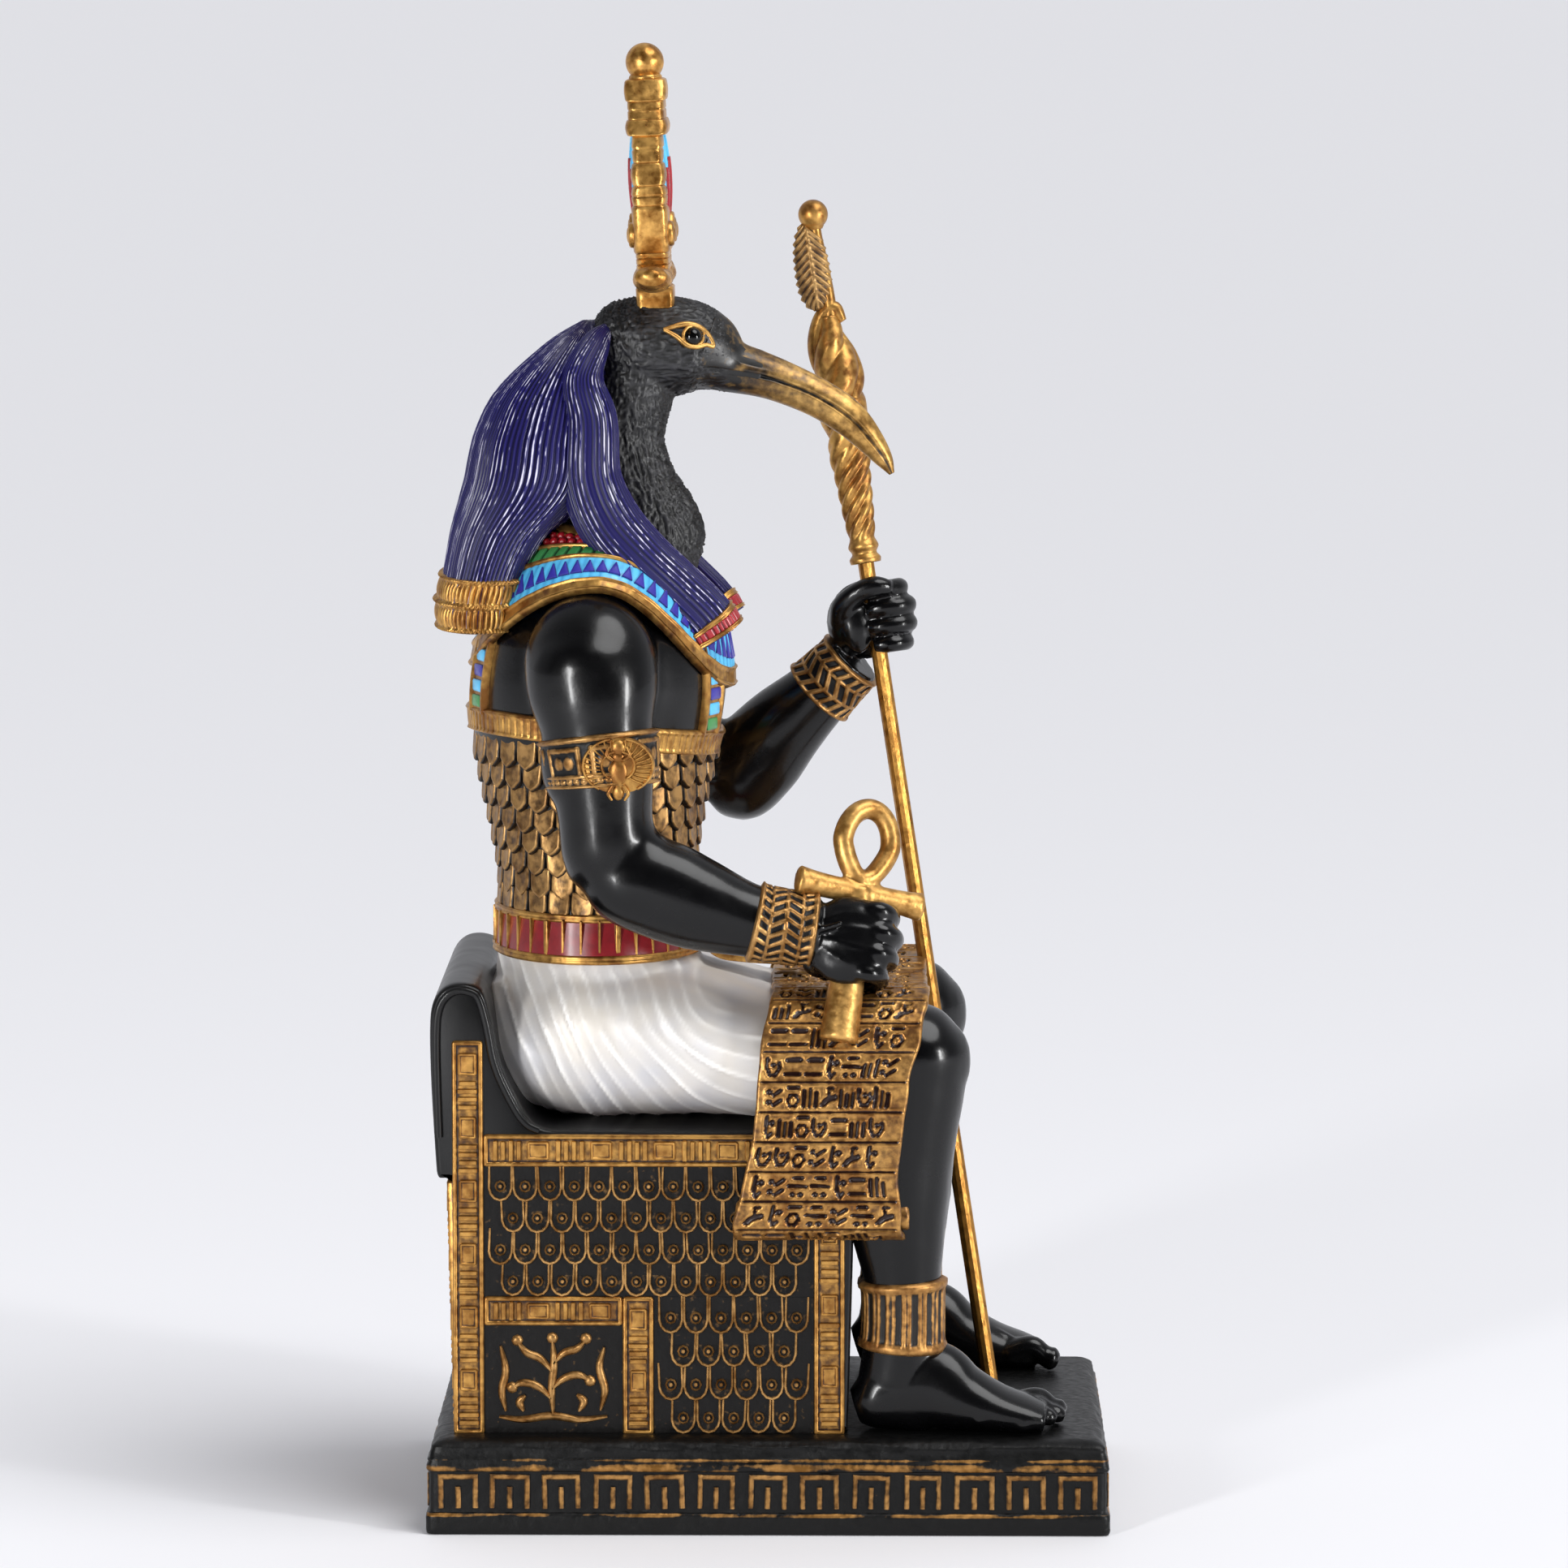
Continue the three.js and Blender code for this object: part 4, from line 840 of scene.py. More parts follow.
for x, z in ((-43.7, 19.4), (-51.9, 9.2), (-36.1, 10.6), (-50.8, 18.9), (-36.9, 19.3)):
    plant += [onto(dome(1.25, 0.9), *side_face(side, 0.1, x, z)) for side in (-1, 1)]
piece("throne_plant", plant, brushed_gold, sharp=50)

# %% [markdown]
# ## Skin
# Arms, chest, legs, hands and feet are one smooth black skin. Each limb is a tube through its measured
# stations, with muscles as extra lumps. A voxel remesh melts them into one surface, and smoothing softens
# the joins. Hands and feet are melted at a finer grain, because fingers and toes would run together at the
# grain of the arms; their joins lie under the bracelets and anklets.


# %% Melting shells into one skin
def melt(name, shells, grain, rounds, paint, carving=None, node="figure"):
    """A piece of overlapping shells made into one skin; grain is the voxel in mm, carving adds a height."""
    held = new_object(name + "_rough", mesh_of(name + "_rough", shells, 1, 0))
    joined = held.modifiers.new("melt", "REMESH")
    joined.mode = "VOXEL"
    joined.voxel_size = grain
    soften = held.modifiers.new("soften", "SMOOTH")
    soften.factor = 0.5
    soften.iterations = rounds
    mesh = evaluated_mesh(held)
    mesh.name = name
    places, facing = np.empty((2, len(mesh.vertices) * 3), np.float32)
    mesh.vertices.foreach_get("co", places)
    mesh.vertex_normals.foreach_get("vector", facing)
    places, facing = places.reshape(-1, 3).astype(float), facing.reshape(-1, 3).astype(float)
    marks = np.zeros(len(places))
    if carving:
        height, marks = carving(places, facing)
        places = places + facing * height[:, None]
    places = (places + [0, 0, plinth_height]) * mm
    mesh.vertices.foreach_set("co", places.astype(np.float32).reshape(-1))
    mark_raised(mesh, marks)
    mesh.update()
    piece(name, mesh, paint, node)


def limb(rows, low=0, high=1, power=2, count=None, sides=40):
    """A closed tube through part of a limb's stations."""
    count = count or 6 * len(rows)
    return skin(limb_grid(rows, np.linspace(low, high, count), turns(sides), power), 0.85)


def lump(middle, radii, lean=0):
    """An egg-shaped muscle; lean turns it about the Y axis."""
    x, y, z = np.moveaxis(ball_grid(radii, 20, 10, 0.12), -1, 0)
    c, s = cos(lean), sin(lean)
    return skin(np.stack([x * c + z * s, y, z * c - x * s], -1) + middle, 0.85)


def tube(points, sizes, sides=16, count=None):
    """A round tube through points with a radius at each."""
    rows = [[*p, r, r] for p, r in zip(points, sizes)]
    return limb(rows, count=count or 5 * len(rows), sides=sides)


def mirrored(rows):
    return [[r[0], -r[1], *r[2:]] for r in rows]


# %% Stations of the body and arms, in millimetres over the soles
torso = [[88, -35, 20.5, 27], [96, -35.4, 20.6, 26], [103.5, -35.3, 20.3, 24.6], [112, -35.6, 20, 24.2],
    [121.5, -35.9, 21.3, 25.6], [132.5, -35.9, 23.6, 28], [142.5, -35.5, 25.7, 30],
    [152.5, -35, 25.8, 30.5], [161.5, -35, 23.4, 29], [168.5, -35.5, 18.5, 23], [176, -34, 12.5, 14]]
right_arm = [[-36, -21, 164.5, 7, 7], [-36, -27.5, 160, 12.6, 10.4], [-35.4, -31.2, 151.5, 13.4, 11.6],
    [-34.3, -32.8, 142.5, 11.3, 10.3], [-33.3, -33.4, 133.5, 10.4, 9.7], [-32.8, -34, 125.5, 9.6, 9.3],
    [-31.8, -34.4, 116.5, 9.2, 8.8], [-31, -34.5, 111.5, 6, 6]]
right_forearm = [[-36.5, -34.5, 116.5, 4, 5], [-31, -34.6, 114, 8.8, 8.6], [-22, -34.8, 111, 10.2, 9.2],
    [-13.5, -34.6, 107.6, 9.4, 8.9], [-3.1, -34.2, 104.3, 7.4, 7.3], [9.8, -33.6, 102.3, 6.8, 6.8]]
left_arm = [[-36, 21, 164.5, 7, 7], [-36, 27.5, 160, 12.6, 10.4], [-34, 31.4, 151.5, 12.8, 11],
    [-28, 33, 141.5, 10.8, 10], [-19, 34, 131.5, 10, 9.4], [-12, 34, 125, 9, 8.8]]
left_forearm = [[-13.5, 34, 120.5, 4, 5], [-9.5, 34, 123.3, 9, 8.6], [-4, 33, 129, 10, 9],
    [2, 31.4, 136, 9, 8.5], [9.4, 29.6, 143.3, 7.3, 7.2], [17, 27.6, 151.2, 6.4, 6.4]]
chest = skin(stack_grid(torso, column(133, 172, 1.5), turns(72)))
# Each is the middle, the radii and the lean: shoulder, front and back of the arm, forearm, elbow.
muscle_rows = [((-36.2, -31.4, 154), (12.9, 11.4, 11.5)), ((-30.2, -33.6, 139), (7.6, 8.2, 10), -0.1),
    ((-38.6, -32.8, 138), (7.4, 8.4, 12), 0.1), ((-24, -35.4, 112.4), (9.5, 8.6, 7.6), 0.35),
    ((-34.8, -33.9, 116.4), (6.4, 6.8, 6.4)), ((-25.6, -34.4, 118.6), (5.6, 7.4, 5.2)),
    ((-35, 31.4, 154), (12.6, 11.2, 11.3)), ((-23.5, 33.8, 138.5), (7, 8, 9), 0.9),
    ((-2.5, 33.4, 129.6), (9, 8.6, 7.6), -0.85)]
muscles = [lump(*row) for row in muscle_rows]
arms = [limb(right_arm), limb(right_forearm, 0, 0.9), limb(left_arm), limb(left_forearm, 0, 0.9)]
melt("skin_arms", [chest] + arms + muscles, 0.9, 14, skin_black)

# %% Legs
thigh = [[-10, -27, 76, 12, 11.5], [10, -29.5, 76, 12, 11.5], [24, -30.5, 76, 12, 11.2],
    [31, -30.8, 76.6, 11.2, 10.6], [36, -30.9, 77.5, 8.6, 8.6], [39.4, -31, 78, 3.6, 4.6]]
shin = [[29, -31, 86.5, 4, 5], [29.2, -31, 80, 10.7, 10.2], [28.6, -31, 71.5, 11.3, 10.6],
    [27.4, -31, 63.5, 11.2, 10.4], [26.2, -31, 55.5, 11.2, 10.2], [25.8, -31.2, 46.5, 10.7, 9.8],
    [26.6, -31.4, 37.5, 9.1, 8.6], [27.2, -31.5, 30, 7.8, 7.6], [27.2, -31.5, 20, 7.7, 7.3],
    [26.6, -31.5, 10, 8.4, 7]]
leg_shells = []
for side, thigh_rows, shin_rows in ((-1, thigh, shin), (1, mirrored(thigh), mirrored(shin))):
    leg_shells += [limb(thigh_rows, 0.3), limb(shin_rows, 0, 0.86)]
    leg_shells.append(lump((36.4, side * 31, 75.5), (4.6, 6.2, 7.6)))
    leg_shells.append(lump((20.5, side * 31, 55), (7, 8.4, 15), -0.06))
    leg_shells.append(lump((34.4, side * 30.2, 52), (3, 3.4, 21), 0.08))
melt("skin_legs", leg_shells, 0.9, 7, skin_black)


# %% Hands
def fist(middle, grip, side, knuckle, size=1):
    """A fist round a bar along grip; side +1 is the left hand; knuckle is how far forward they stand."""
    up = unit(grip)
    out = unit([1, 0, 0] - up[0] * up)
    back = np.array([0, side, 0.0])
    back = unit(back - (back @ up) * up - (back @ out) * out)
    at = lambda o, b, g: middle + size * (o * out + b * back + g * up)
    basis = np.array([out, back, up])
    swell, reach = 3.9, 8.8
    middle_o = knuckle - 5.4
    cover = lambda o, g: 3.1 + swell * sqrt(max(0.04, 1 - ((o - middle_o) / reach) ** 2 - (g / 9.2) ** 2))

    def palm(centre, radii):
        points, quads, tris, marks = lump((0, 0, 0), radii)
        return points * size @ basis + at(*centre), quads, tris, marks

    shells = [palm((middle_o, 3.1, 0), (reach, swell, 9.2)), palm((-6, -0.2, -0.4), (5.2, 5, 7.4))]
    shells += [palm((middle_o + 1.2, 3, g), (7.4, 3.7, 4.7)) for g in (4.2, -3.8)]
    shells += [palm((-4.6, -3.4, -0.4), (4, 3, 7.2))]
    for i in range(4):
        g = 6.4 - 4.25 * i
        r = (2.15, 2.25, 2.15, 1.95)[i] * size
        droop = (-0.6, 0.6, 0.3, -0.9)[i]
        bend = [(knuckle - 3.6, 3, g * 0.94), (knuckle - 0.9 + droop, 4.35, g),
            (knuckle + 1.1 + droop, 4, g)]
        bend += [(7.2 + droop, 1.6, g), (7.2 + droop, -1.8, g), (5.6 + droop, -4.4, g), (2.2, -5.2, g),
            (-1, -4.6, g * 0.96)]
        shells.append(tube([at(*j) for j in bend],
            [r * k for k in (0.8, 0.98, 1, 0.98, 1.04, 1, 0.98, 0.8)]))
        cord = [(o, cover(o, g * s) - 0.25, g * s) for o, s in ((-6.5, 0.4), (-3, 0.66),
            (knuckle - 3.5, 0.9), (knuckle - 1.2, 1))]
        shells.append(tube([at(*c) for c in cord], [0.35 * size, 0.5 * size, 0.5 * size, 0.4 * size]))
    thumb = [(-8, -2, 0), (-6.6, -4.6, 3.8), (-3.2, -6.5, 6.4), (1.2, -7, 7.4), (4.8, -6.2, 6.6)]
    shells.append(tube([at(*p) for p in thumb], [r * size for r in (2.8, 2.9, 2.5, 2.5, 1.8)]))
    return shells


right_grip, left_grip = (16.9, -33.8, 99.6), (21.3, 26.1, 159.5)
ankh_up = unit([0.137, 0.35, 0.927])
rod_foot, rod_top = np.array([45.8, 13.0, 0]), np.array([8.4, 33.0, 243.3])
rod_up = unit(rod_top - rod_foot)
hand_shells = fist(right_grip, ankh_up, -1, 4.6) + [limb(right_forearm, 0.84, 1)]
hand_shells += fist(left_grip, rod_up, 1, 3.4, 0.9) + [limb(left_forearm, 0.84, 1)]
hand_shells.append(tube([(4, -39.3, 103.4), (10.5, -39.7, 103.6), (15, -41.5, 105)], [0.6, 0.7, 0.7]))
melt("skin_hands", hand_shells, 0.42, 9, skin_black)

# %% Feet
foot = [[17.6, -31.5, 4.5, 3.6, 4], [20.4, -31.5, 5.4, 5.8, 6], [26, -31.5, 7.8, 9, 6.8],
    [33, -31.8, 8.8, 9.4, 7.2], [40, -32, 6.2, 6.8, 7.8], [47, -32.2, 4.2, 4.8, 8],
    [53, -32.2, 3, 3.7, 7.6], [56, -32.2, 2.6, 2.8, 6.8]]
foot_shells = []
for side in (-1, 1):
    turn = (lambda rows: rows) if side < 0 else mirrored
    foot_shells += [limb(turn(foot)), limb(turn(shin), 0.8, 1)]
    for i, tip in enumerate((60.4, 60.2, 58.4, 56, 53)):
        y = -26.4 - i * 2.95
        r = 1.75 if i else 2.45
        toe = [[tip - 11, y, 3.6, r, r], [tip - 5.6, y, 4.9 - 0.25 * i, r * 0.98, r]]
        toe += [[tip - 2.9, y, 3, r * 0.9, r * 0.95], [tip - 1.2, y, 2.3, r * 1.02, r * 1.06],
            [tip, y, 1.9, r * 0.6, r * 0.7]]
        foot_shells.append(limb(turn(toe), sides=16))
        nail = [[tip - 2.2, y, 4.2, 0.45, r * 0.6], [tip - 0.8, y, 3.5, 0.45, r * 0.62],
            [tip + 0.2, y, 2.5, 0.35, r * 0.5]]
        foot_shells.append(limb(turn(nail), sides=10))
        cord = [[36, -30.6 - i * 0.5, 13.6, 0.9, 0.9], [44, -29.3 - i * 1.5, 9.4, 0.9, 0.9],
            [tip - 8, y, 5.4, 0.8, 0.8]]
        foot_shells.append(limb(turn(cord), sides=10))
    for ankle_y, ankle_z in ((-36, 12.4), (-27, 13.4)):
        foot_shells.append(lump((26.6, ankle_y if side < 0 else -ankle_y, ankle_z), (3.6, 2.5, 4)))
melt("skin_feet", foot_shells, 0.46, 3, skin_black)

# %% [markdown]
# ## Kilt
# The kilt is thin pleated linen, cast as part of the body and painted pearl white. Each pleat is a fine
# raised line that falls steeply from the belt and bends forward along the thigh, and a few slow folds lie
# under them. The form is a wide soft-cornered tube over the lap and a stack of slices at the waist, melted
# into one skin, so that no seam shows. It slopes down under the scroll.


# %% Kilt with fanned pleats
kilt_rows = [[-55.5, 0, 89, 5, 16], [-53.2, 0, 84, 12, 23.5], [-48, 0, 80, 15.8, 29.5],
    [-40, 0, 78.5, 17.3, 33], [-25, 0, 77.6, 16.4, 35.5], [-11, 0, 75.9, 14.3, 37.5],
    [1, 0, 74.4, 12.8, 39.5], [19, 0, 74.2, 12.6, 41.5], [28, 0, 74.2, 11.6, 41.5]]
pleat_pitch = 2.9


def pleat_start(x, drop):
    """Where on the belt the pleat through a point starts."""
    low, high = np.full_like(x, -80.0), np.array(x)
    for _ in range(16):
        start = (low + high) / 2
        deepest = 2 + 0.045 * np.minimum(start + 5, 0) ** 2
        deeper = deepest * (1 - np.exp(-2.6 * (x - start) / deepest)) > drop
        low, high = np.where(deeper, start, low), np.where(deeper, high, start)
    return (low + high) / 2


def pleats(points, normals):
    """Height of the pleat lines and the slow folds under them; the lines' mark is a painted highlight."""
    x, drop = points[..., 0], 95.0 - points[..., 2] + 0.12 * (36 - np.abs(points[..., 1]))
    x = x + 1.1 * hand_noise(points, 13, 2)
    start = pleat_start(x, drop)
    steep = np.hypot(pleat_start(x + 0.3, drop) - start, pleat_start(x, drop + 0.3) - start) / 0.3 + 1e-3
    fan = start / pleat_pitch
    line = np.floor(fan)
    shift = 0.3 * np.sin(line * 12.9898) + 0.5
    strength = 0.15 + 0.85 * np.abs(np.sin(line * 4.7 + 1))
    off = (fan - line - shift) * pleat_pitch / steep
    fading = clamp(0.75 + 0.9 * hand_noise(points, 8, 6))
    crease = bell(off / (0.32 + 0.1 * strength)) * strength * fading * clamp(drop / 4)
    fold = 0.12 * np.sin(fan * 2 * pi / 3) * clamp(drop / 8)
    return 0.5 * crease + fold, crease


waist_rows = [[74, -35.2, 21, 31], [80, -35.2, 22.4, 32.8], [86, -35, 21.6, 30.3], [91, -35.2, 21, 27.6],
    [95, -35.3, 20.9, 26.2]]
kilt_shells = [limb(kilt_rows, power=2.7, sides=90),
    skin(stack_grid(waist_rows, column(74, 95, 1.0), turns(90)))]
melt("kilt", kilt_shells, 0.62, 14, pearl_white, pleats)

# %% [markdown]
# ## Bodice, belt and straps
# The bodice is a shirt of overlapping pointed scales between a red panelled belt and a gold upper band,
# held up by two pairs of enamelled straps. Each scale is one small domed shape. The rows overlap like roof
# tiles: they are laid from the bottom up, and each scale leans out over the next.


# %% Bodice ground and scales
def torso_point(z, angle, proud=0):
    """A point on the body's side and the direction out of it."""
    x, deep, wide = between(torso, z)
    c, s = cos(angle), sin(angle)
    out = unit([c / deep, s / wide, 0])
    return np.array([x + c * deep, s * wide, z]) + out * proud, out


def bodice_edge(angle):
    """Height of the bodice's upper edge, which dips at the chest."""
    return 139.5 + 2 * np.abs(np.sin(angle)) - 2.6 * np.cos(angle)


bodice = stack_grid(torso, column(95.5, 141, 1.0), turns(160), proud=0.1)
piece("bodice_ground", [skin(bodice)], throne_black)
tile = [(-2.4, 3.3), (-2.66, 1), (-2.5, -1.3), (-1.45, -2.5), (0, -3.3)]
tile += [(-x, z) for x, z in reversed(tile[:-1])]
scale_shape = [plate(tile, [(0, -0.5, 0), (0.1, 0.15, 0), (0.42, 0.5, 0.7), (0.75, 0.6, 1),
    (1.5, 0.5, 0.55)])]
scale_wide, scale_rise = 5.35, 4.45
scale_spots = []
for r, z in enumerate(np.arange(105.6, 141, scale_rise)):
    girth = pi * between(torso, z)[1:].sum() * 1.003
    count = int(girth / scale_wide)
    for i in range(count):
        angle = (i + 0.5 * (r % 2)) * 2 * pi / count
        if z <= bodice_edge(angle) + 0.4:
            place, out = torso_point(z, angle, 0.12)
            across = np.cross(up, out) + up * rng.uniform(-0.06, 0.06)
            scale_spots.append(spot(place, across, out + 0.07 * up, (girth / count / 5.45, 1, 1)))
repeat("bodice_scales", scale_shape, scale_spots, scale_bronze, uneven=0.05, sharp=25)


# %% Bands round the body
def body_band(low, high, proud, columns, profile, rows=12, slices=torso, power=2, sunk_edge=True):
    """A band round the body between two heights, which may change with the angle."""
    z = low + (high - low) * np.linspace(0, 1, rows)[:, None]
    return band(stack_grid(slices, z, turns(columns), power), proud, profile, 0.6, sunk_edge)


def edged(width=0.12, edge=0.45):
    """Two raised edges with a plain sunk face between them."""

    def profile(share, angle):
        lip = clamp(1 - np.minimum(share, 1 - share) / width) ** 0.5
        return lip * edge, 0.25 + 0.75 * lip

    return profile


def engraved(pitch, width=0.16, edge=0.45, depth=0.35):
    """Raised edges, and upright engraved lines between them."""

    def profile(share, angle):
        lip = clamp((width - np.minimum(share, 1 - share)) / 0.05)
        cut = clamp((zigzag(angle / pitch) - 0.72) / 0.15)
        return lip * edge + (1 - lip) * (0.15 - depth * cut), clamp(lip + (1 - lip) * (0.85 - cut))

    return profile


def rippled(share, angle):
    """A plain enamelled face with a slight ripple."""
    return 0.045 * np.sin(angle * 23), 0.5 + 0 * share


edge_line = bodice_edge(turns(600))
upper_band = body_band(edge_line - 2.5, edge_line + 2.5, 0.9, 600, engraved(0.062))
piece("bodice_band", [upper_band], antique_gold)
belt_low, belt_high = 94.6, 103.6
belt_red = body_band(belt_low, belt_high, 0.75, 240, rippled, sunk_edge=False)
piece("belt_red", [belt_red], red_enamel)
belt_edges = ((belt_low - 0.5, belt_low + 1.3), (belt_high - 1.2, belt_high + 0.5))
belt_gold = [body_band(low, high, 1.1, 300, edged(0.4, 0.3), 6) for low, high in belt_edges]
piece("belt_edges", belt_gold, antique_gold)
belt_bar = [box_plate(-0.5, 0.5, -4, 4, 0.3, [(0, -0.4, 0.2), (0.06, 0.35, 0.8), (0.2, 0.5, 1)], 1)]
bar_spots = []
for i, angle in enumerate(turns(36)):
    place, out = torso_point((belt_low + belt_high) / 2, angle + 0.05, 0.75)
    bar_spots.append(spot(place, np.cross(up, out), out, (0.6 if i % 4 else 1.3, 1, 1)))
repeat("belt_bars", belt_bar, bar_spots, antique_gold)


# %% Straps and sash
def laid_strip(path, normals, width, profile):
    """A flat strip laid along points on a surface; profile gives height and mark across its width."""
    path, normals = np.array(path), unit(normals)
    side = unit(np.cross(unit(np.gradient(path, axis=0)), normals))
    share = np.linspace(-1, 1, int(width / 0.3))
    height, marks = profile(share * np.ones((len(path), 1)), np.linspace(0, 1, len(path))[:, None])
    lift = normals[:, None] * height[..., None]
    top = path[:, None] + side[:, None] * (share * width / 2)[:, None] + lift
    base = (path - normals * 0.5)[:, None] + side[:, None] * (np.array([1, -1]) * width / 2)[:, None]
    return skin(np.concatenate([top, base], 1), np.pad(marks, ((0, 0), (0, 2))))


def lipped(face, lip, edge, start):
    """A flat face between two raised lips that begin at a share of the half width."""

    def profile(share, along):
        off = np.abs(share)
        height = np.where(off > 0.97, edge, np.where(off > start, lip, face))
        return height, np.where(off > start - 0.02, 1, 0.3)

    return profile


def cross_ribs(share, along):
    """Low ribs across the strip."""
    return 1.0 + 0.45 * (np.abs((along * 9) % 1 - 0.5) < 0.38) + 0 * share, 0.5 + 0 * share


inlay = box_plate(-2.5, 2.5, -1.25, 1.25, 0.4, [(0, -0.3, 0.2), (0.05, 0.25, 0.6), (0.4, 0.42, 1)], 1)
straps, inlays = [], {"sky": [], "leaf": [], "ink": []}
for angle in (-0.46, 0.46, pi - 0.44, pi + 0.44):
    heights = np.linspace(bodice_edge(angle) + 1.5, 161, 40)
    path, outs = zip(*(torso_point(z, angle) for z in heights))
    straps.append(laid_strip(path, outs, 8, lipped(0.75, 1.25, 0.2, 0.72)))
    for i, kind in enumerate(("leaf", "sky", "ink", "sky", "leaf", "ink")):
        place, out = torso_point(heights[0] + 2.4 + i * 3.1, angle, 0.75)
        across = unit(np.cross(up, out))
        inlays[kind].append(onto(inlay, place, across, np.cross(out, across), out))
piece("straps", straps, antique_gold, sharp=60)
inlay_paints = (("sky", sky_enamel, "blue"), ("leaf", leaf_enamel, "green"), ("ink", ink_enamel, "blue"))
for kind, paint, slot in inlay_paints:
    piece("strap_inlay_" + kind, inlays[kind], paint, sharp=50)

sash_path = [(-14.2, 0, 99.5), (-13.2, 0, 95.5), (-10.5, 0, 93.2), (-5, 0, 92.3), (2, 0, 91.9),
    (8, 0, 91.7)]
sash_out = [(1, 0, 0.1), (1, 0, 0.4), (0.6, 0, 1), (0.1, 0, 1), (0.05, 0, 1), (0, 0, 1)]
along = np.linspace(0, 1, 60)
sash_rows = ([[*p, 0, 0] for p in rows] for rows in (sash_path, sash_out))
sash_line, sash_facing = (smooth_rows(rows, along)[:, :3] for rows in sash_rows)
sash_edge = laid_strip(sash_line, sash_facing, 13, lipped(0.9, 1.5, 0.3, 0.8))
piece("sash_edge", [sash_edge], antique_gold, sharp=60)
sash_red = laid_strip(sash_line, sash_facing, 9.6, cross_ribs)
piece("sash_red", [sash_red], red_enamel, sharp=60)

# %% [markdown]
# ## Scroll
# A gilt scroll hangs over both knees and curls in at each end. It is one strip of paper with a thickness.
# The rows of writing are not copied: they are bars, dots, wedges and small hooks pressed in at random from
# a fixed seed, which give the same busy grain.

# %% The strip's path
scroll_side = [(-43.9, 44.5), (-44.4, 56), (-44, 70), (-42.2, 80), (-38.4, 86.6), (-31.6, 90), (-20, 89.4),
    (-8, 88.6)]
curl = []
for a in np.linspace(pi + 2 * pi * 1.3, pi + 0.15, 26):
    radius = 4.9 - 2.0 * (a - pi) / (2 * pi)
    curl.append((-39 + radius * cos(a), 44.6 + radius * sin(a)))
half = curl + scroll_side[1:]
scroll_path = np.array(half + [(-y, z) for y, z in reversed(half)])
fine = smooth_rows(np.column_stack([scroll_path, np.zeros((len(scroll_path), 3))]),
    np.linspace(0, 1, 4000))[:, :2]
run = np.concatenate([[0], np.cumsum(np.linalg.norm(np.diff(fine, axis=0), axis=1))])
paper_step, paper_columns = 0.31, 90
count = int(run[-1] / paper_step)
along = np.linspace(0, run[-1], count)
path = np.column_stack([np.interp(along, run, fine[:, 0]), np.interp(along, run, fine[:, 1])])
ahead = unit(np.gradient(path, axis=0))
outward = np.column_stack([-ahead[:, 1], ahead[:, 0]])
hang = [[38, -7.2, 24.6], [44.5, -6.9, 26.9], [50, -5.6, 26.2], [60, -3.4, 26.8], [78, -1.6, 29.6],
    [86, -0.4, 31.6], [92, 1.6, 32.8]]
ends = between(hang, np.maximum(path[:, 1], 44.5))
from_end = np.minimum(along, run[-1] - along)
ends[:, 1] += 1.6 * clamp((27 - from_end) / 7)


# %% Rows of pressed strokes
sunk, rim = np.zeros((2, count, paper_columns))
wide_mm, row_pitch = 29.0, 6.05


def press(s0, u0, s1, u1, half_width=0.34, depth=0.62):
    """One stroke pressed into the strip between two places, in mm along it and across it."""
    pad = half_width + 0.55
    r0, r1 = int((min(s0, s1) - pad) / paper_step), int((max(s0, s1) + pad) / paper_step) + 1
    across = wide_mm / (paper_columns - 1)
    c0, c1 = int((min(u0, u1) - pad) / across), int((max(u0, u1) + pad) / across) + 1
    r0, c0, r1, c1 = max(r0, 0), max(c0, 0), min(r1, count), min(c1, paper_columns)
    if r1 <= r0 or c1 <= c0:
        return
    s = (np.arange(r0, r1) * paper_step)[:, None]
    u = (np.arange(c0, c1) * across)[None, :]
    length = hypot(s1 - s0, u1 - u0) + 1e-6
    share = clamp(((s - s0) * (s1 - s0) + (u - u0) * (u1 - u0)) / length**2)
    far = np.hypot(s - s0 - share * (s1 - s0), u - u0 - share * (u1 - u0))
    cut = clamp((half_width + 0.14 - far) / 0.26) * depth
    sunk[r0:r1, c0:c1] = np.maximum(sunk[r0:r1, c0:c1], cut)
    edge = bell((far - half_width - 0.32) / 0.16)
    rim[r0:r1, c0:c1] = np.maximum(rim[r0:r1, c0:c1], edge)


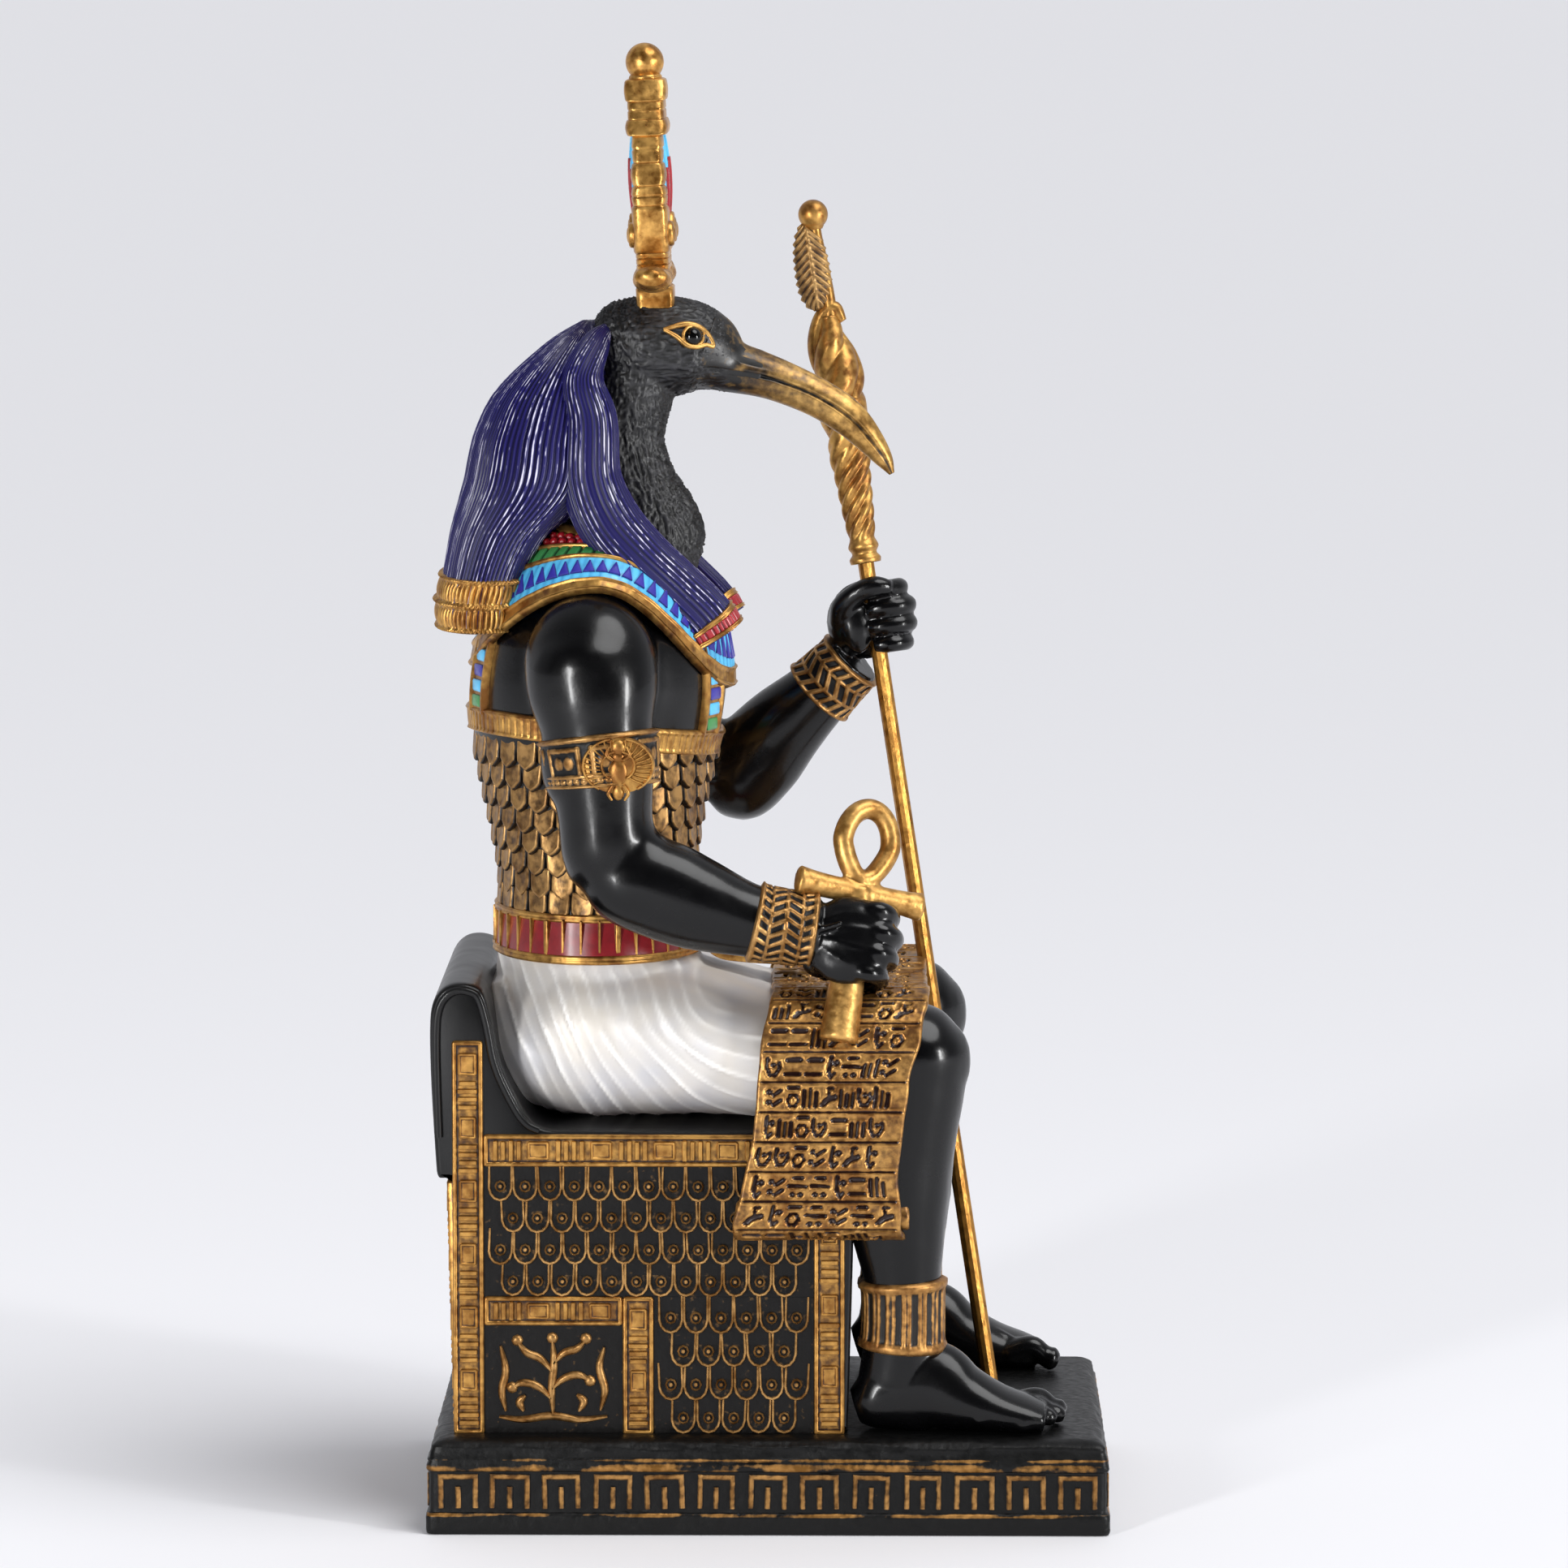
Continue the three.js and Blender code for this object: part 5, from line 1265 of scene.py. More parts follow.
# Each made-up sign is its width, then strokes: a half width, and places along and across the strip. One
# place alone is a dot, and None is a length drawn at random.
signs = ((2.4, *((0.34, (0.05, across), (None, across)) for across in (0, 1.15, 2.3))),
    (2.9, (0.34, (0.15, 0), (0.15, 2.8)), (0.5, (0.85, 0.3), (0.85, 2.5))),
    (2.8, (0.55, (0.25, 0.4)), (0.34, (0.1, 1.3), (0.35, 2.6)), (0.55, (0.75, 0.4)),
    (0.34, (0.6, 1.3), (0.85, 2.6))), (3.3, (0.34, (0.55, 0), (0.5, 3.3)), (0.5, (0.1, 0.8)),
    (0.5, (0.1, 2.3)), (0.34, (0.95, 0.9), (0.95, 2.4))),
    (2.6, (0.34, (0.9, 0.1), (0.45, 0.1), (0.1, 0.8), (0.1, 1.8), (0.45, 2.5), (0.7, 2.3)),
    (0.5, (0.6, 1.3))), (2.2, (0.34, (1, 0.6), (0.3, 0.6), (0, 1.1), (0.2, 1.7)), (0.6, (0.7, 1.7))),
    (2.3, (0.28, (0.05, 0.6), (0.05, 1.6), (0.35, 2.2), (0.6, 1.6), (0.6, 0.6), (0.35, 0.1), (0.05, 0.6)),
    (0.34, (0.98, 0.2), (0.98, 2.1))), (3, (0.55, (0.15, 0.5), (0.35, 1), (0.5, 2.6)),
    (0.26, (0.5, 1.5), (0.95, 1.3), (0.95, 2.1)), (0.42, (0.12, 0.2))))


def sign(s, u, tall):
    """Presses one sign, picked at random, and returns how wide it came out."""
    width, *strokes = signs[rng.integers(0, 8)]
    for half_width, *places in strokes:
        line = [(s + (rng.uniform(0.6, 1) if a is None else a) * tall, u + b) for a, b in places]
        for start, end in zip(line, line[1:] or [(line[0][0] + 0.02, line[0][1] + 0.02)]):
            press(*start, *end, half_width)
    return width


for start in np.arange(9.5, run[-1] - 9.5, row_pitch):
    press(start, 0.8, start, wide_mm - 0.8, 0.16, 0.35)
    u = 1.4 + rng.uniform(0, 0.6)
    while u < wide_mm - 3.9:
        u += sign(start + 1, u, row_pitch - 2) + rng.uniform(0.75, 1.1)


# %% The strip with its thickness
share = np.linspace(0, 1, paper_columns)
front, back = ends[:, :1], ends[:, 1:]
edge_wave = np.array([[noise.noise((s * 0.16, 0, 0)), noise.noise((s * 0.16, 9, 0))] for s in along]) * 0.5
front, back = front + edge_wave[:, :1], back + edge_wave[:, 1:]


def strip_grid(across):
    """The strip's middle surface at shares across it."""
    x = front + (back - front) * across
    return np.stack([x, path[:, :1] + 0 * x, path[:, 1:] + 0 * x], -1)


outer = strip_grid(share)
normal = np.column_stack([np.zeros(count), outward])[:, None]
swell = hand_noise(outer[::6, ::6], 9, 3) * 0.3
swell = np.repeat(np.repeat(swell, 6, 0), 6, 1)[:count, :paper_columns]
for _ in range(4):
    swell = (swell + sum(np.roll(swell, step, axis) for axis in (0, 1) for step in (1, -1))) / 5
height = -sunk + 0.14 * rim * (sunk < 0.05) + np.minimum(swell, 0)
lip = clamp(1 - np.minimum(share, 1 - share) / 0.012) * -0.35
outer = outer + normal * (height + lip)[..., None]
thickness = 1.25
last = paper_columns - 1
under_share = np.array([last, (2 * paper_columns) // 3, paper_columns // 3, 0]) / last
under = strip_grid(under_share) - normal * thickness
marks = np.concatenate([clamp(0.46 + 0.6 * rim - 2.4 * sunk), np.full((count, 4), 0.5)], 1)
piece("scroll", [skin(np.concatenate([outer, under], 1), marks)], scroll_paint, sharp=60)

# %% [markdown]
# ## Hair
# The striped headdress hair falls in carved strands about 1 mm wide, all running from the crown's foot. The
# back mass is a stack of level slices and each front lappet is a limb; a strand is a ridge along the grid's
# columns. Columns are counted by arc length on one row, so all strands keep the same width.

# %% Strands
hair_slices = [[161, -59, 8.3, 22.5], [165, -58.8, 9, 22.8], [172, -57.4, 9.1, 23],
    [180, -54.5, 10.6, 23.3], [190.5, -48, 14.3, 22.6], [201, -46.2, 13.6, 20], [208.5, -44.3, 11.6, 17],
    [216, -41, 7.6, 12.5], [220.5, -38.5, 4.6, 7.5], [223.3, -37, 1.5, 2.5]]
strand_pitch = 1.02


def strands(grid, row, pitch=strand_pitch, depth=0.78):
    """Ridges along the columns, evenly wide on one row, tapering where columns draw together."""
    ring = grid[row]
    steps = np.linalg.norm(np.roll(ring, -1, 0) - ring, axis=1)
    girth = steps.sum()
    count = round(girth / pitch)
    phase = np.concatenate([[0], np.cumsum(steps)[:-1]]) / girth * count
    rows = np.arange(len(grid))[:, None]
    drift = 0.05 * np.sin(rows / len(grid) * 4 + 1.7 * np.sin(np.floor(phase) * 2.1))
    share = (phase + drift) % 1
    ridge = np.abs(np.sin(pi * share)) ** 0.75
    own = 0.8 + 0.2 * np.sin(np.floor(phase + drift) * 7.3)
    here = np.linalg.norm(np.roll(grid, -1, 1) - grid, axis=2).sum(1)[:, None] / girth
    # The mark is narrowed to each strand's crest, where the hair paint lays its painted highlight.
    return ridge * own * depth * np.clip(here * 1.15, 0.15, 1), ridge**3 * (0.4 + 0.6 * own)


hair_grid = stack_grid(hair_slices, column(161.5, 223.3, 0.95), turns(760), 2.2)
height, ridge = strands(hair_grid, 21)
piece("hair_back", [skin(carve(hair_grid, height - 0.25), ridge)], hair_indigo)

lappet = [[-38, -12.5, 212, 4, 4.5], [-36.4, -14.6, 204, 5.2, 5], [-36, -16.4, 192, 5.8, 5.6],
    [-32.5, -17.2, 183.5, 6.2, 6], [-26.5, -16.8, 176.3, 6, 6], [-19.3, -15.4, 169.2, 6, 5.4],
    [-13.4, -14.4, 163, 6.2, 5], [-11.2, -14, 159.6, 6, 4.6]]
crest = [[-32.6, -4.2, 222.6, 0.7, 0.9], [-35.2, -8.6, 219, 2.7, 3]]
lappet_rows = crest + lappet
lappet_shells = []
for rows in (lappet_rows, mirrored(lappet_rows)):
    grid = limb_grid(rows, np.linspace(0, 1, 110), turns(200), 2.6)
    height, ridge = strands(grid, 55, 1, 0.66)
    lappet_shells.append(skin(carve(grid, height - 0.2), ridge))
piece("hair_lappets", lappet_shells, hair_indigo)


# %% Bands on limbs
def limb_band(rows, low, high, proud, columns, profile, count=16, power=2):
    """A band round a limb between two shares of its length."""
    return band(limb_grid(rows, np.linspace(low, high, count), turns(columns), power), proud, profile, 0.7)


def barrel_beads(share, angle):
    """Upright barrel beads bound by three roped ribs."""
    across = np.abs(np.sin(angle * 30)) ** 0.6 * np.abs(np.sin(pi * 2 * share)) ** 0.5
    rib = clamp(sum(bell((share - at) / 0.05) for at in (0.5, 0.05, 0.95)))
    rope = rib * (0.75 + 0.25 * np.sin(angle * 90))
    return np.maximum(1.1 * across, rope * 1.55) - 0.35, clamp(1.1 * np.maximum(across, rope)) ** 1.5


lappet_gold, lappet_red = [], []
for rows in (lappet, mirrored(lappet)):
    lappet_gold.append(limb_band(rows, 0.86, 0.893, 0.75, 120, edged(0.3, 0.3), 8, 2.6))
    lappet_gold.append(limb_band(rows, 0.955, 0.99, 0.85, 120, edged(0.3, 0.3), 8, 2.6))
    lappet_red.append(limb_band(rows, 0.888, 0.96, 0.6, 240, engraved(0.16, 0.1, 0.1, 0.4), 12, 2.6))
piece("lappet_edges", lappet_gold, antique_gold)
piece("lappet_red", lappet_red, red_enamel)
hair_band = body_band(161, 172, 0.35, 480, barrel_beads, 35, hair_slices, 2.2)
piece("hair_band", [hair_band], antique_gold)

# %% [markdown]
# ## Collar
# The broad collar is a stiff disc of beadwork over the shoulders, in rings: gold, two rows of red beads,
# gold, a green row, gold, a light-blue row with indigo points, and a wide gold rim. Every ring is the same
# dished surface read between two shares of its width; beads and points are set on it.


# %% The collar's surface and its rings
def collar_grid(t, angle):
    """The dished surface from the rim (t 0) to the throat (t 1)."""
    c, s = np.cos(angle), np.sin(angle)
    lift = np.abs(s) ** np.where(c > 0, 3.2, 1.8)
    low = np.where(c > 0, 149, 153)
    rim_at = np.stack([-34.4 + 26.7 * c, 29.5 * s, low + (171 - low) * lift], -1)
    throat = np.stack([-31 + 14 * c, 14.5 * s, 178 - 6 * c], -1)
    bulge = 4.6 * np.sin(pi * clamp(t)) ** 0.8
    base = rim_at + (throat - rim_at) * t[..., None]
    return base + np.stack([bulge * c * 0.5, 0 * bulge, bulge * 0.6], -1)


def collar_ring(t0, t1, proud, profile, count=10):
    """One ring of the collar between two shares of its width."""
    angle = turns(400)
    grid = collar_grid(np.linspace(t0, t1, count)[:, None] + 0 * angle, angle * np.ones((count, 1)))
    return band(grid, proud, profile, 0.9, sunk_edge=False)


def round_lip(share, angle):
    return 0.45 * np.sin(pi * share) ** 0.6, 0.45 + 0.55 * np.sin(pi * share)


def worn_rim(share, angle):
    """Two gold lips, and between them a sunk band rubbed brown in patches."""
    off = np.abs(share - 0.5)
    lips = clamp((off - 0.26) / 0.1) * clamp((0.5 - off) / 0.06)
    patches = 0.35 + 0.25 * np.sin(angle * 19 + 2 * np.sin(angle * 7))
    return 0.15 + 0.4 * lips + 0.06 * np.sin(angle * 31), np.maximum(lips, patches)


def drops(share, angle):
    """Upright drops, flatter over the shoulders."""
    drop = np.abs(np.sin(angle * 42)) ** 0.7
    return 0.28 * drop * clamp(np.abs(np.cos(angle)) * 2 - 0.6), 0.35 + 0.65 * drop


def ticks(share, angle):
    """Flat upright bars."""
    bar = np.abs((angle * 26 / pi) % 1 - 0.5) < 0.36
    return 0.3 * bar, 0.9 * bar


def plain(share, angle):
    return 0 * share, 0.5 + 0 * share


gold_rings = [collar_ring(-0.02, 0.105, 0.35, worn_rim, 16), collar_ring(0.405, 0.455, 0.35, round_lip, 6),
    collar_ring(0.6, 0.65, 0.35, round_lip, 6), collar_ring(0.86, 0.99, 0.3, round_lip, 8)]
piece("collar_gold", gold_rings, antique_gold)
piece("collar_blue", [collar_ring(0.095, 0.415, 0.15, drops, 16)], sky_enamel)
piece("collar_green", [collar_ring(0.445, 0.61, 0.15, ticks, 8)], leaf_enamel)
piece("collar_red", [collar_ring(0.64, 0.87, 0.05, plain, 8)], red_enamel)


# %% Beads and points on the collar
def collar_spot(t, angle, stretch=(1, 1, 1), proud=0.2):
    """A place on the collar, with its x axis round it and its z axis out of it."""
    near = collar_grid(np.array([t, t, t + 0.01]), np.array([angle, angle + 0.01, angle]))
    out = unit(np.cross(near[1] - near[0], near[2] - near[0]))
    out = out * np.sign(out[2] + 0.3 * (out @ [cos(angle), sin(angle), 0]))
    return spot(near[0] + out * proud, near[1] - near[0], out, stretch)


bead_rows = ((0.71, 0, 60), (0.8, 0.5, 56))
bead_spots = [collar_spot(t, (i + shift) * 2 * pi / n) for t, shift, n in bead_rows for i in range(n)]
repeat("collar_beads", [dome(0.95, 0.8, 7)], bead_spots, red_enamel, uneven=0.06)
point = [(-1.25, -1.6), (1.25, -1.6), (0.15, 2), (-0.15, 2)]
point_shape = [plate(point, [(0, -0.4, 0.2), (0.03, 0.18, 0.5), (0.25, 0.3, 1)])]
point_angles = turns(62) + pi / 62
point_spots = [collar_spot(0.255, a, (1, 0.85 + 0.9 * abs(cos(a)) ** 1.5, 1), 0.25) for a in point_angles]
repeat("collar_points", point_shape, point_spots, ink_enamel, uneven=0.05)

# %% [markdown]
# ## Ibis head
# The neck and the head are one black feathered skin. On the casting the feathers are short scratched
# strokes that run down the neck and back from the beak, so they are a noise drawn out along the way they
# lie, carved about 0.3 mm each way. The beak is a limb of its own with a mouth line and a nostril cut in,
# and its gold fades into the black of the face, with the mouth line and the nostril painted dark as
# painted shade in the cuts.

# %% Feathered neck and head
neck_slices = [[158, -32, 14, 13], [170, -29, 13, 12.8], [179.5, -26.8, 13.3, 12], [186.3, -27.6, 11.9, 11],
    [193.2, -30.5, 10.4, 10], [199.5, -31.8, 10, 9.8], [206, -30.5, 10.4, 9.8], [213, -27.5, 9.5, 9]]
head = [[-37, 0, 217, 3, 4], [-33.5, 0, 217.4, 8, 8], [-28, 0, 217.8, 10, 9.8], [-22, 0, 217.9, 10.2, 10],
    [-16.5, 0, 217.5, 9.7, 9.6], [-12.6, 0, 216.3, 8.3, 8], [-7.9, 0, 213.8, 5.5, 5.4],
    [-3, 0, 212.4, 4.7, 4.3], [1.5, 0, 210.9, 4.3, 3.7], [10, 0, 207.1, 3.9, 3.1],
    [16.1, 0, 203, 3.65, 2.7], [20.3, 0, 198.6, 2.85, 2.2], [23.3, 0, 194.6, 1.8, 1.5],
    [24.8, 0, 191.9, 0.6, 0.6]]


def scratched_feathers(points, normals):
    """Strokes along the way the feathers lie: down on the neck, back from the beak on the head."""
    skull = clamp((points[:, 2] - 203) / 8) * clamp((points[:, 0] + 30) / 8)
    bare = clamp((points[:, 0] + 10.5) / 3) * (points[:, 2] > 200)
    down = points @ np.array([[1, 0, -0.35], [0, 1, 0], [0.25, 0, 1]]) / [0.66, 0.66, 3.4]
    backward = points / [3, 0.66, 0.66]
    low, flat = (1 - clamp(np.abs(hand_noise(p, 1)) * 3.2) for p in (down, backward))
    stroke = low * (1 - skull) + flat * skull
    deep = (0.66 * (1 - skull) + 0.34 * skull) * (1 - bare)
    return (stroke - 0.5) * deep, stroke * (1 - bare)


neck_shell = skin(stack_grid(neck_slices, column(158, 213, 1.2), turns(60)))
head_shell = limb(head, 0, 0.56, count=60, sides=60)
cheeks = [lump((-17.5, side * 4.6, 216.2), (5.6, 5.2, 5.8)) for side in (-1, 1)]
brow = [lump((-18.5, side * 5.6, 222.4), (6, 3.4, 2.6), 0.12) for side in (-1, 1)]
feather_black = gold_paint("black_feathers_dry_brushed_grey", "#030304", "#0a0a0c", "#2b2b2e", 0.5, 0.4, 0,
    0, 0.35, 0.2)
head_shells = [neck_shell, head_shell] + cheeks + brow
melt("head_and_neck", head_shells, 0.38, 2, feather_black, scratched_feathers)

# %% Beak
beak_angle = turns(100)
beak_grid = limb_grid(head, np.linspace(0.36, 1, 190), beak_angle)
x = beak_grid[..., 0]
high = np.cos(beak_angle) * np.ones_like(x)
beak_x = [-14, -7, 0, 8, 17, 24]
mouth = np.interp(x, beak_x, [-0.36, -0.12, 0.02, 0.1, 0.12, 0.1])
tall = np.interp(x, beak_x, [8.5, 5.4, 4.5, 4, 3.5, 1.5])
side_face = np.abs(np.sin(beak_angle)) ** 2
groove = bell((high - mouth) * tall / 0.3) * side_face * clamp((x + 15) / 3)
upper_lip = bell((high - mouth) * tall / 1 - 0.9) * side_face
nostril = np.exp(-(((x + 4.2) / 2.4) ** 2) - (((high - 0.42) * tall / 0.36) ** 2)) * side_face
ridge = bell((high - 0.98) / 0.05)
beak_height = (-0.85 * groove + 0.18 * upper_lip - 0.5 * nostril + 0.15 * ridge) * clamp((24.5 - x) / 5)
streak = hand_noise(beak_grid / [5, 1.1, 1.1], 1)
# The gold fades in along the beak; the mouth line and the nostril are kept dark, as painted shade in the
# cuts.
gold_fade_and_shaded_cuts = clamp((x + 9.5) / 29) ** 0.8 + 0.2 * streak - 0.8 * groove - 0.5 * nostril
beak_paint = gold_paint("gold_faded_into_black_beak", "#0a0807", "#8c6632", "#dbae64", 0.6, 0.3, 0, 0.85,
    0.85, 0.35)
piece("beak", [skin(carve(beak_grid, beak_height), clamp(gold_fade_and_shaded_cuts))], beak_paint)


# %% Eyes
def on_head(x, z):
    """The right side of the head at a place in the side view."""
    t = np.interp(x, [r[0] for r in head], np.linspace(0, 1, len(head)))
    row = smooth_rows(head, np.array([t]))[0]
    share = min(0.98, abs(z - row[2]) / row[3])
    return np.array([x, -row[4] * sqrt(1 - share**2), z])


eye_at = on_head(-15.6, 220.4)
eye_out = unit(eye_at - [-18.5, 0, 218])
gloss_black = sprayed_black("gloss_black_eye", "#030303", "#060606", 0.08, 0.5)
outline = [(-22.6, 222), (-20.4, 222.6), (-17.6, 223.2), (-14.6, 222.6), (-12.2, 220.6), (-11, 217.9)]
outline += [(-12.6, 218.3), (-14.6, 217.9), (-17, 218.3), (-19.6, 220.4), (-22.6, 222)]
outline = [(-15.8 + 0.86 * (x + 15.8), 220.4 + 0.86 * (z - 220.4)) for x, z in outline]
lid = np.array([on_head(x, z) + eye_out * 0.35 for x, z in outline])
ring = [(2.05 * cos(a), 2.05 * sin(a)) for a in np.linspace(0, 2 * pi, 15)]
socket = np.array([on_head(-15.6 + x, 220.4 + z) + eye_out * 0.3 for x, z in ring])
lid_sizes = [0.36, 0.5, 0.6, 0.6, 0.56, 0.5, 0.46, 0.52, 0.56, 0.5, 0.36]
eye_shells, lid_shells = [], []
for mirror in ([1, 1, 1], [1, -1, 1]):
    eye_shells.append(skin(ball_grid(2.15, 24, 14, 0.05) + (eye_at - eye_out * 0.7) * mirror))
    lid_shells.append(tube(lid * mirror, lid_sizes, 10, 80))
    lid_shells.append(tube(socket * mirror, [0.36] * 15, 8, 60))
piece("eyes", eye_shells, gloss_black)
piece("eye_outlines", lid_shells, satin_gold)

# %% [markdown]
# ## Armlets, bracelets and anklets
# These are cast bands, black in the hollows and brushed gold on the relief. Each band is a short grid round
# its limb with the ornament carved as a height: flutes on the anklets, leaf veins on the bracelets. The
# right armlet carries a winged beetle holding a ball.


# %% Carved profiles
def chevrons(pitch, rows):
    """Rows of slanted strokes that change direction, between gold edges."""

    def profile(share, angle):
        lip = clamp((0.1 - np.minimum(share, 1 - share)) / 0.04)
        lane = share * rows
        row = np.floor(lane)
        slant = np.where(row % 2 < 1, 1, -1) * (lane - row) * 0.8
        wave = zigzag(angle / pitch + slant)
        stroke = clamp((wave - 0.5) / 0.2) * clamp((0.86 - np.abs(2 * (lane - row) - 1)) / 0.1)
        spine = clamp((0.1 - np.abs(lane - np.round(lane))) / 0.05)
        relief = np.maximum(np.maximum(stroke, spine), lip)
        return 0.42 * relief + 0.25 * lip, relief

    return profile


def flutes(share, angle):
    """Upright flutes between gold rings."""
    lip = clamp((0.16 - np.minimum(share, 1 - share)) / 0.04)
    wave = zigzag(angle / 0.4)
    bar = clamp((wave - 0.3) / 0.2) - 0.6 * clamp((wave - 0.8) / 0.1)
    relief = np.maximum(bar * (0.75 + 0.25 * np.sin(angle * 11)), lip)
    return 0.4 * relief + 0.35 * lip, relief


def panels(share, angle):
    """A bead row over square sunk panels, between borders."""
    line_at = lambda at, width: bell((share - at) / width)
    lip = clamp((0.09 - np.minimum(share, 1 - share)) / 0.03)
    bead_row = line_at(0.83, 0.055) * np.abs(np.sin(angle * 21)) ** 0.7
    cell = zigzag(angle * 7 / (2 * pi))
    frame_line = bell((cell - 0.72) / 0.09) * (share > 0.14) * (share < 0.68)
    frame_line = np.maximum(frame_line, line_at(0.2, 0.035) * (cell < 0.72))
    centre = clamp(1 - np.hypot((cell - 0.25) * 1.6, (share - 0.44) * 3.2) / 0.45) ** 0.5
    relief = clamp(lip + bead_row + line_at(0.72, 0.03) + frame_line + 0.8 * centre)
    return 0.5 * relief + 0.2 * lip, relief


armlets = [limb_band(right_arm, 0.437, 0.603, 0.75, 300, panels, 30)]
armlets += [limb_band(left_arm, 0.5, 0.72, 0.75, 300, panels, 30)]
bracelets = [limb_band(right_forearm, 0.8, 0.995, 0.35, 300, chevrons(0.3, 4), 36)]
bracelets += [limb_band(left_forearm, 0.8, 0.99, 0.35, 300, chevrons(0.36, 3), 36)]
anklets = [limb_band(rows, 0.765, 0.93, 0.6, 280, flutes, 28) for rows in (shin, mirrored(shin))]
worn_gold = gold_paint("worn_gold_over_black", "#120c06", "#7c5228", "#c09052", 0.48)
piece("armlets", armlets, brushed_gold)
piece("bracelets", bracelets, brushed_gold)
piece("anklets", anklets, worn_gold)

# %% Winged beetle on the right armlet
beetle_middle = np.array([-29.8, -43.5, 136.6])
beetle_face = (beetle_middle, (1, 0, 0), (0, 0, 1), (0, -1, 0))
wing = lambda share, a: (side * (3.3 + 3.7 * share) * cos(a), 0.3 + (2.9 + 2.6 * share) * sin(a))
beetle = []
for side in (-1, 1):
    for share in (0, 1):
        line = [wing(share, a) for a in np.linspace(-1, 1.35, 18)]
        beetle.append(onto(ribbon(line, 0.34, 0.8), *beetle_face))
    for a in np.linspace(-0.9, 1.2, 11):
        barb = [wing(share, a + 0.16 * share) for share in (0.1, 0.5, 0.95)]
        beetle.append(onto(ribbon(barb, 0.24, 0.62), *beetle_face))
backing = [(7.3 * cos(a), 0.3 + 5.8 * sin(a)) for a in turns(28)]
beetle.append(onto(plate(backing, [(0, -1.6, 0), (0.2, 0, 0.3), (0.8, 0.2, 0.45)]), *beetle_face))
body_parts = ((-1, (2, 1, 2.9)), (2, (1.5, 0.9, 1.2)), (3.9, (1.7, 1, 1.7)), (-5, (1.25, 0.8, 1.7)))
beetle += [lump(beetle_middle + [0, 0.15, z], radii) for z, radii in body_parts]
back_leg = [(1.2, -0.7, -3.6), (2.2, -0.5, -5.2), (1.4, -0.3, -6.6)]
front_leg = [(1.1, -0.7, 1.4), (2.6, -0.5, 2.6), (1.9, -0.4, 4.2)]
for x in (-0.9, 0.9):
    for leg in (back_leg, front_leg):
        beetle.append(tube(beetle_middle + np.array(leg) * [x, 1, 1], [0.35, 0.4, 0.25], 8))
piece("armlet_beetle", beetle, antique_gold, sharp=60)

# %% [markdown]
# ## Ankh and staff
# The ankh is round bars with smoothly swelling ends, melted into one casting. The staff's rod is exact in
# the CAD model, so that node stays and only gets its paint; the cast head over it is a bar twisted of two
# strands, with a coiled hood, a plume on a stem and a ball.

# %% Ankh
ankh_across = np.array([0.91, 0.309, -0.274])
ankh_across = unit(ankh_across - (ankh_across @ ankh_up) * ankh_up)
ankh_face = np.cross(ankh_across, ankh_up)
ankh_middle = right_grip + 10.6 * ankh_up
ankh_span, ankh_thick, ankh_bar = 27.6, 4.4, 4.8


def from_ankh(*flat):
    """Points by their place across, up and out of the ankh, moved to where it is held."""
    across, high, out = (values[..., None] for values in np.broadcast_arrays(*flat))
    return across * ankh_across + high * ankh_up + out * ankh_face + ankh_middle


a = turns(36)
t = np.linspace(-1, 1, 60)[:, None]
soft_end = clamp((1 - np.abs(t)) / 0.03) ** 0.5 * 0.25 + 0.75
cross_high = (ankh_bar / 2 + 0.7 * t**4) * soft_end
cross_bar = from_ankh(ankh_span / 2 * t, cross_high * np.cos(a), ankh_thick / 2 * soft_end * np.sin(a))
d = np.linspace(0, 1, 50)[:, None]
tail_radius = (2.6 + 1.5 * d) * (clamp((1 - d) / 0.015) ** 0.5 * 0.1 + 0.9)
tail = from_ankh(tail_radius * np.cos(a), 1 - 32 * d, tail_radius * np.sin(a))
around = turns(90)[:, None]
loop_wide = 5.2 * (1 - 0.32 * clamp(-np.sin(around))) + 2.1 * np.cos(a)
loop_high = 10.2 + np.sin(around) * (7.4 + 2.1 * np.cos(a))
loop = from_ankh(np.cos(around) * loop_wide, loop_high, ankh_thick / 2 * np.sin(a))
ankh_shells = [skin(cross_bar), skin(tail), skin(loop, loop=True)]
smooth = lambda points, normals: (0 * points[:, 0], 0.8 + 0 * points[:, 0])
melt("ankh_casting", ankh_shells, 0.42, 3, satin_gold, smooth, "ankh")

# %% Staff rod
rod_paint = gold_paint("gold_painted_metal_rod", "#54360f", "#8f6228", "#bb8840", 1.25, 0.27, 0.9)
rod_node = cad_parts["staff_rod"]
rod_node.data.materials.clear()
rod_node.data.materials.append(rod_paint)

# %% Staff head
head_start = 173.6
rod_x = unit(np.cross([0, 1, 0], rod_up))
rod_y = np.cross(rod_up, rod_x)


def from_rod(points):
    """Points stood on the rod, with z along it, moved to their places."""
    return points @ np.array([rod_x, rod_y, rod_up]) + rod_foot + head_start * rod_up


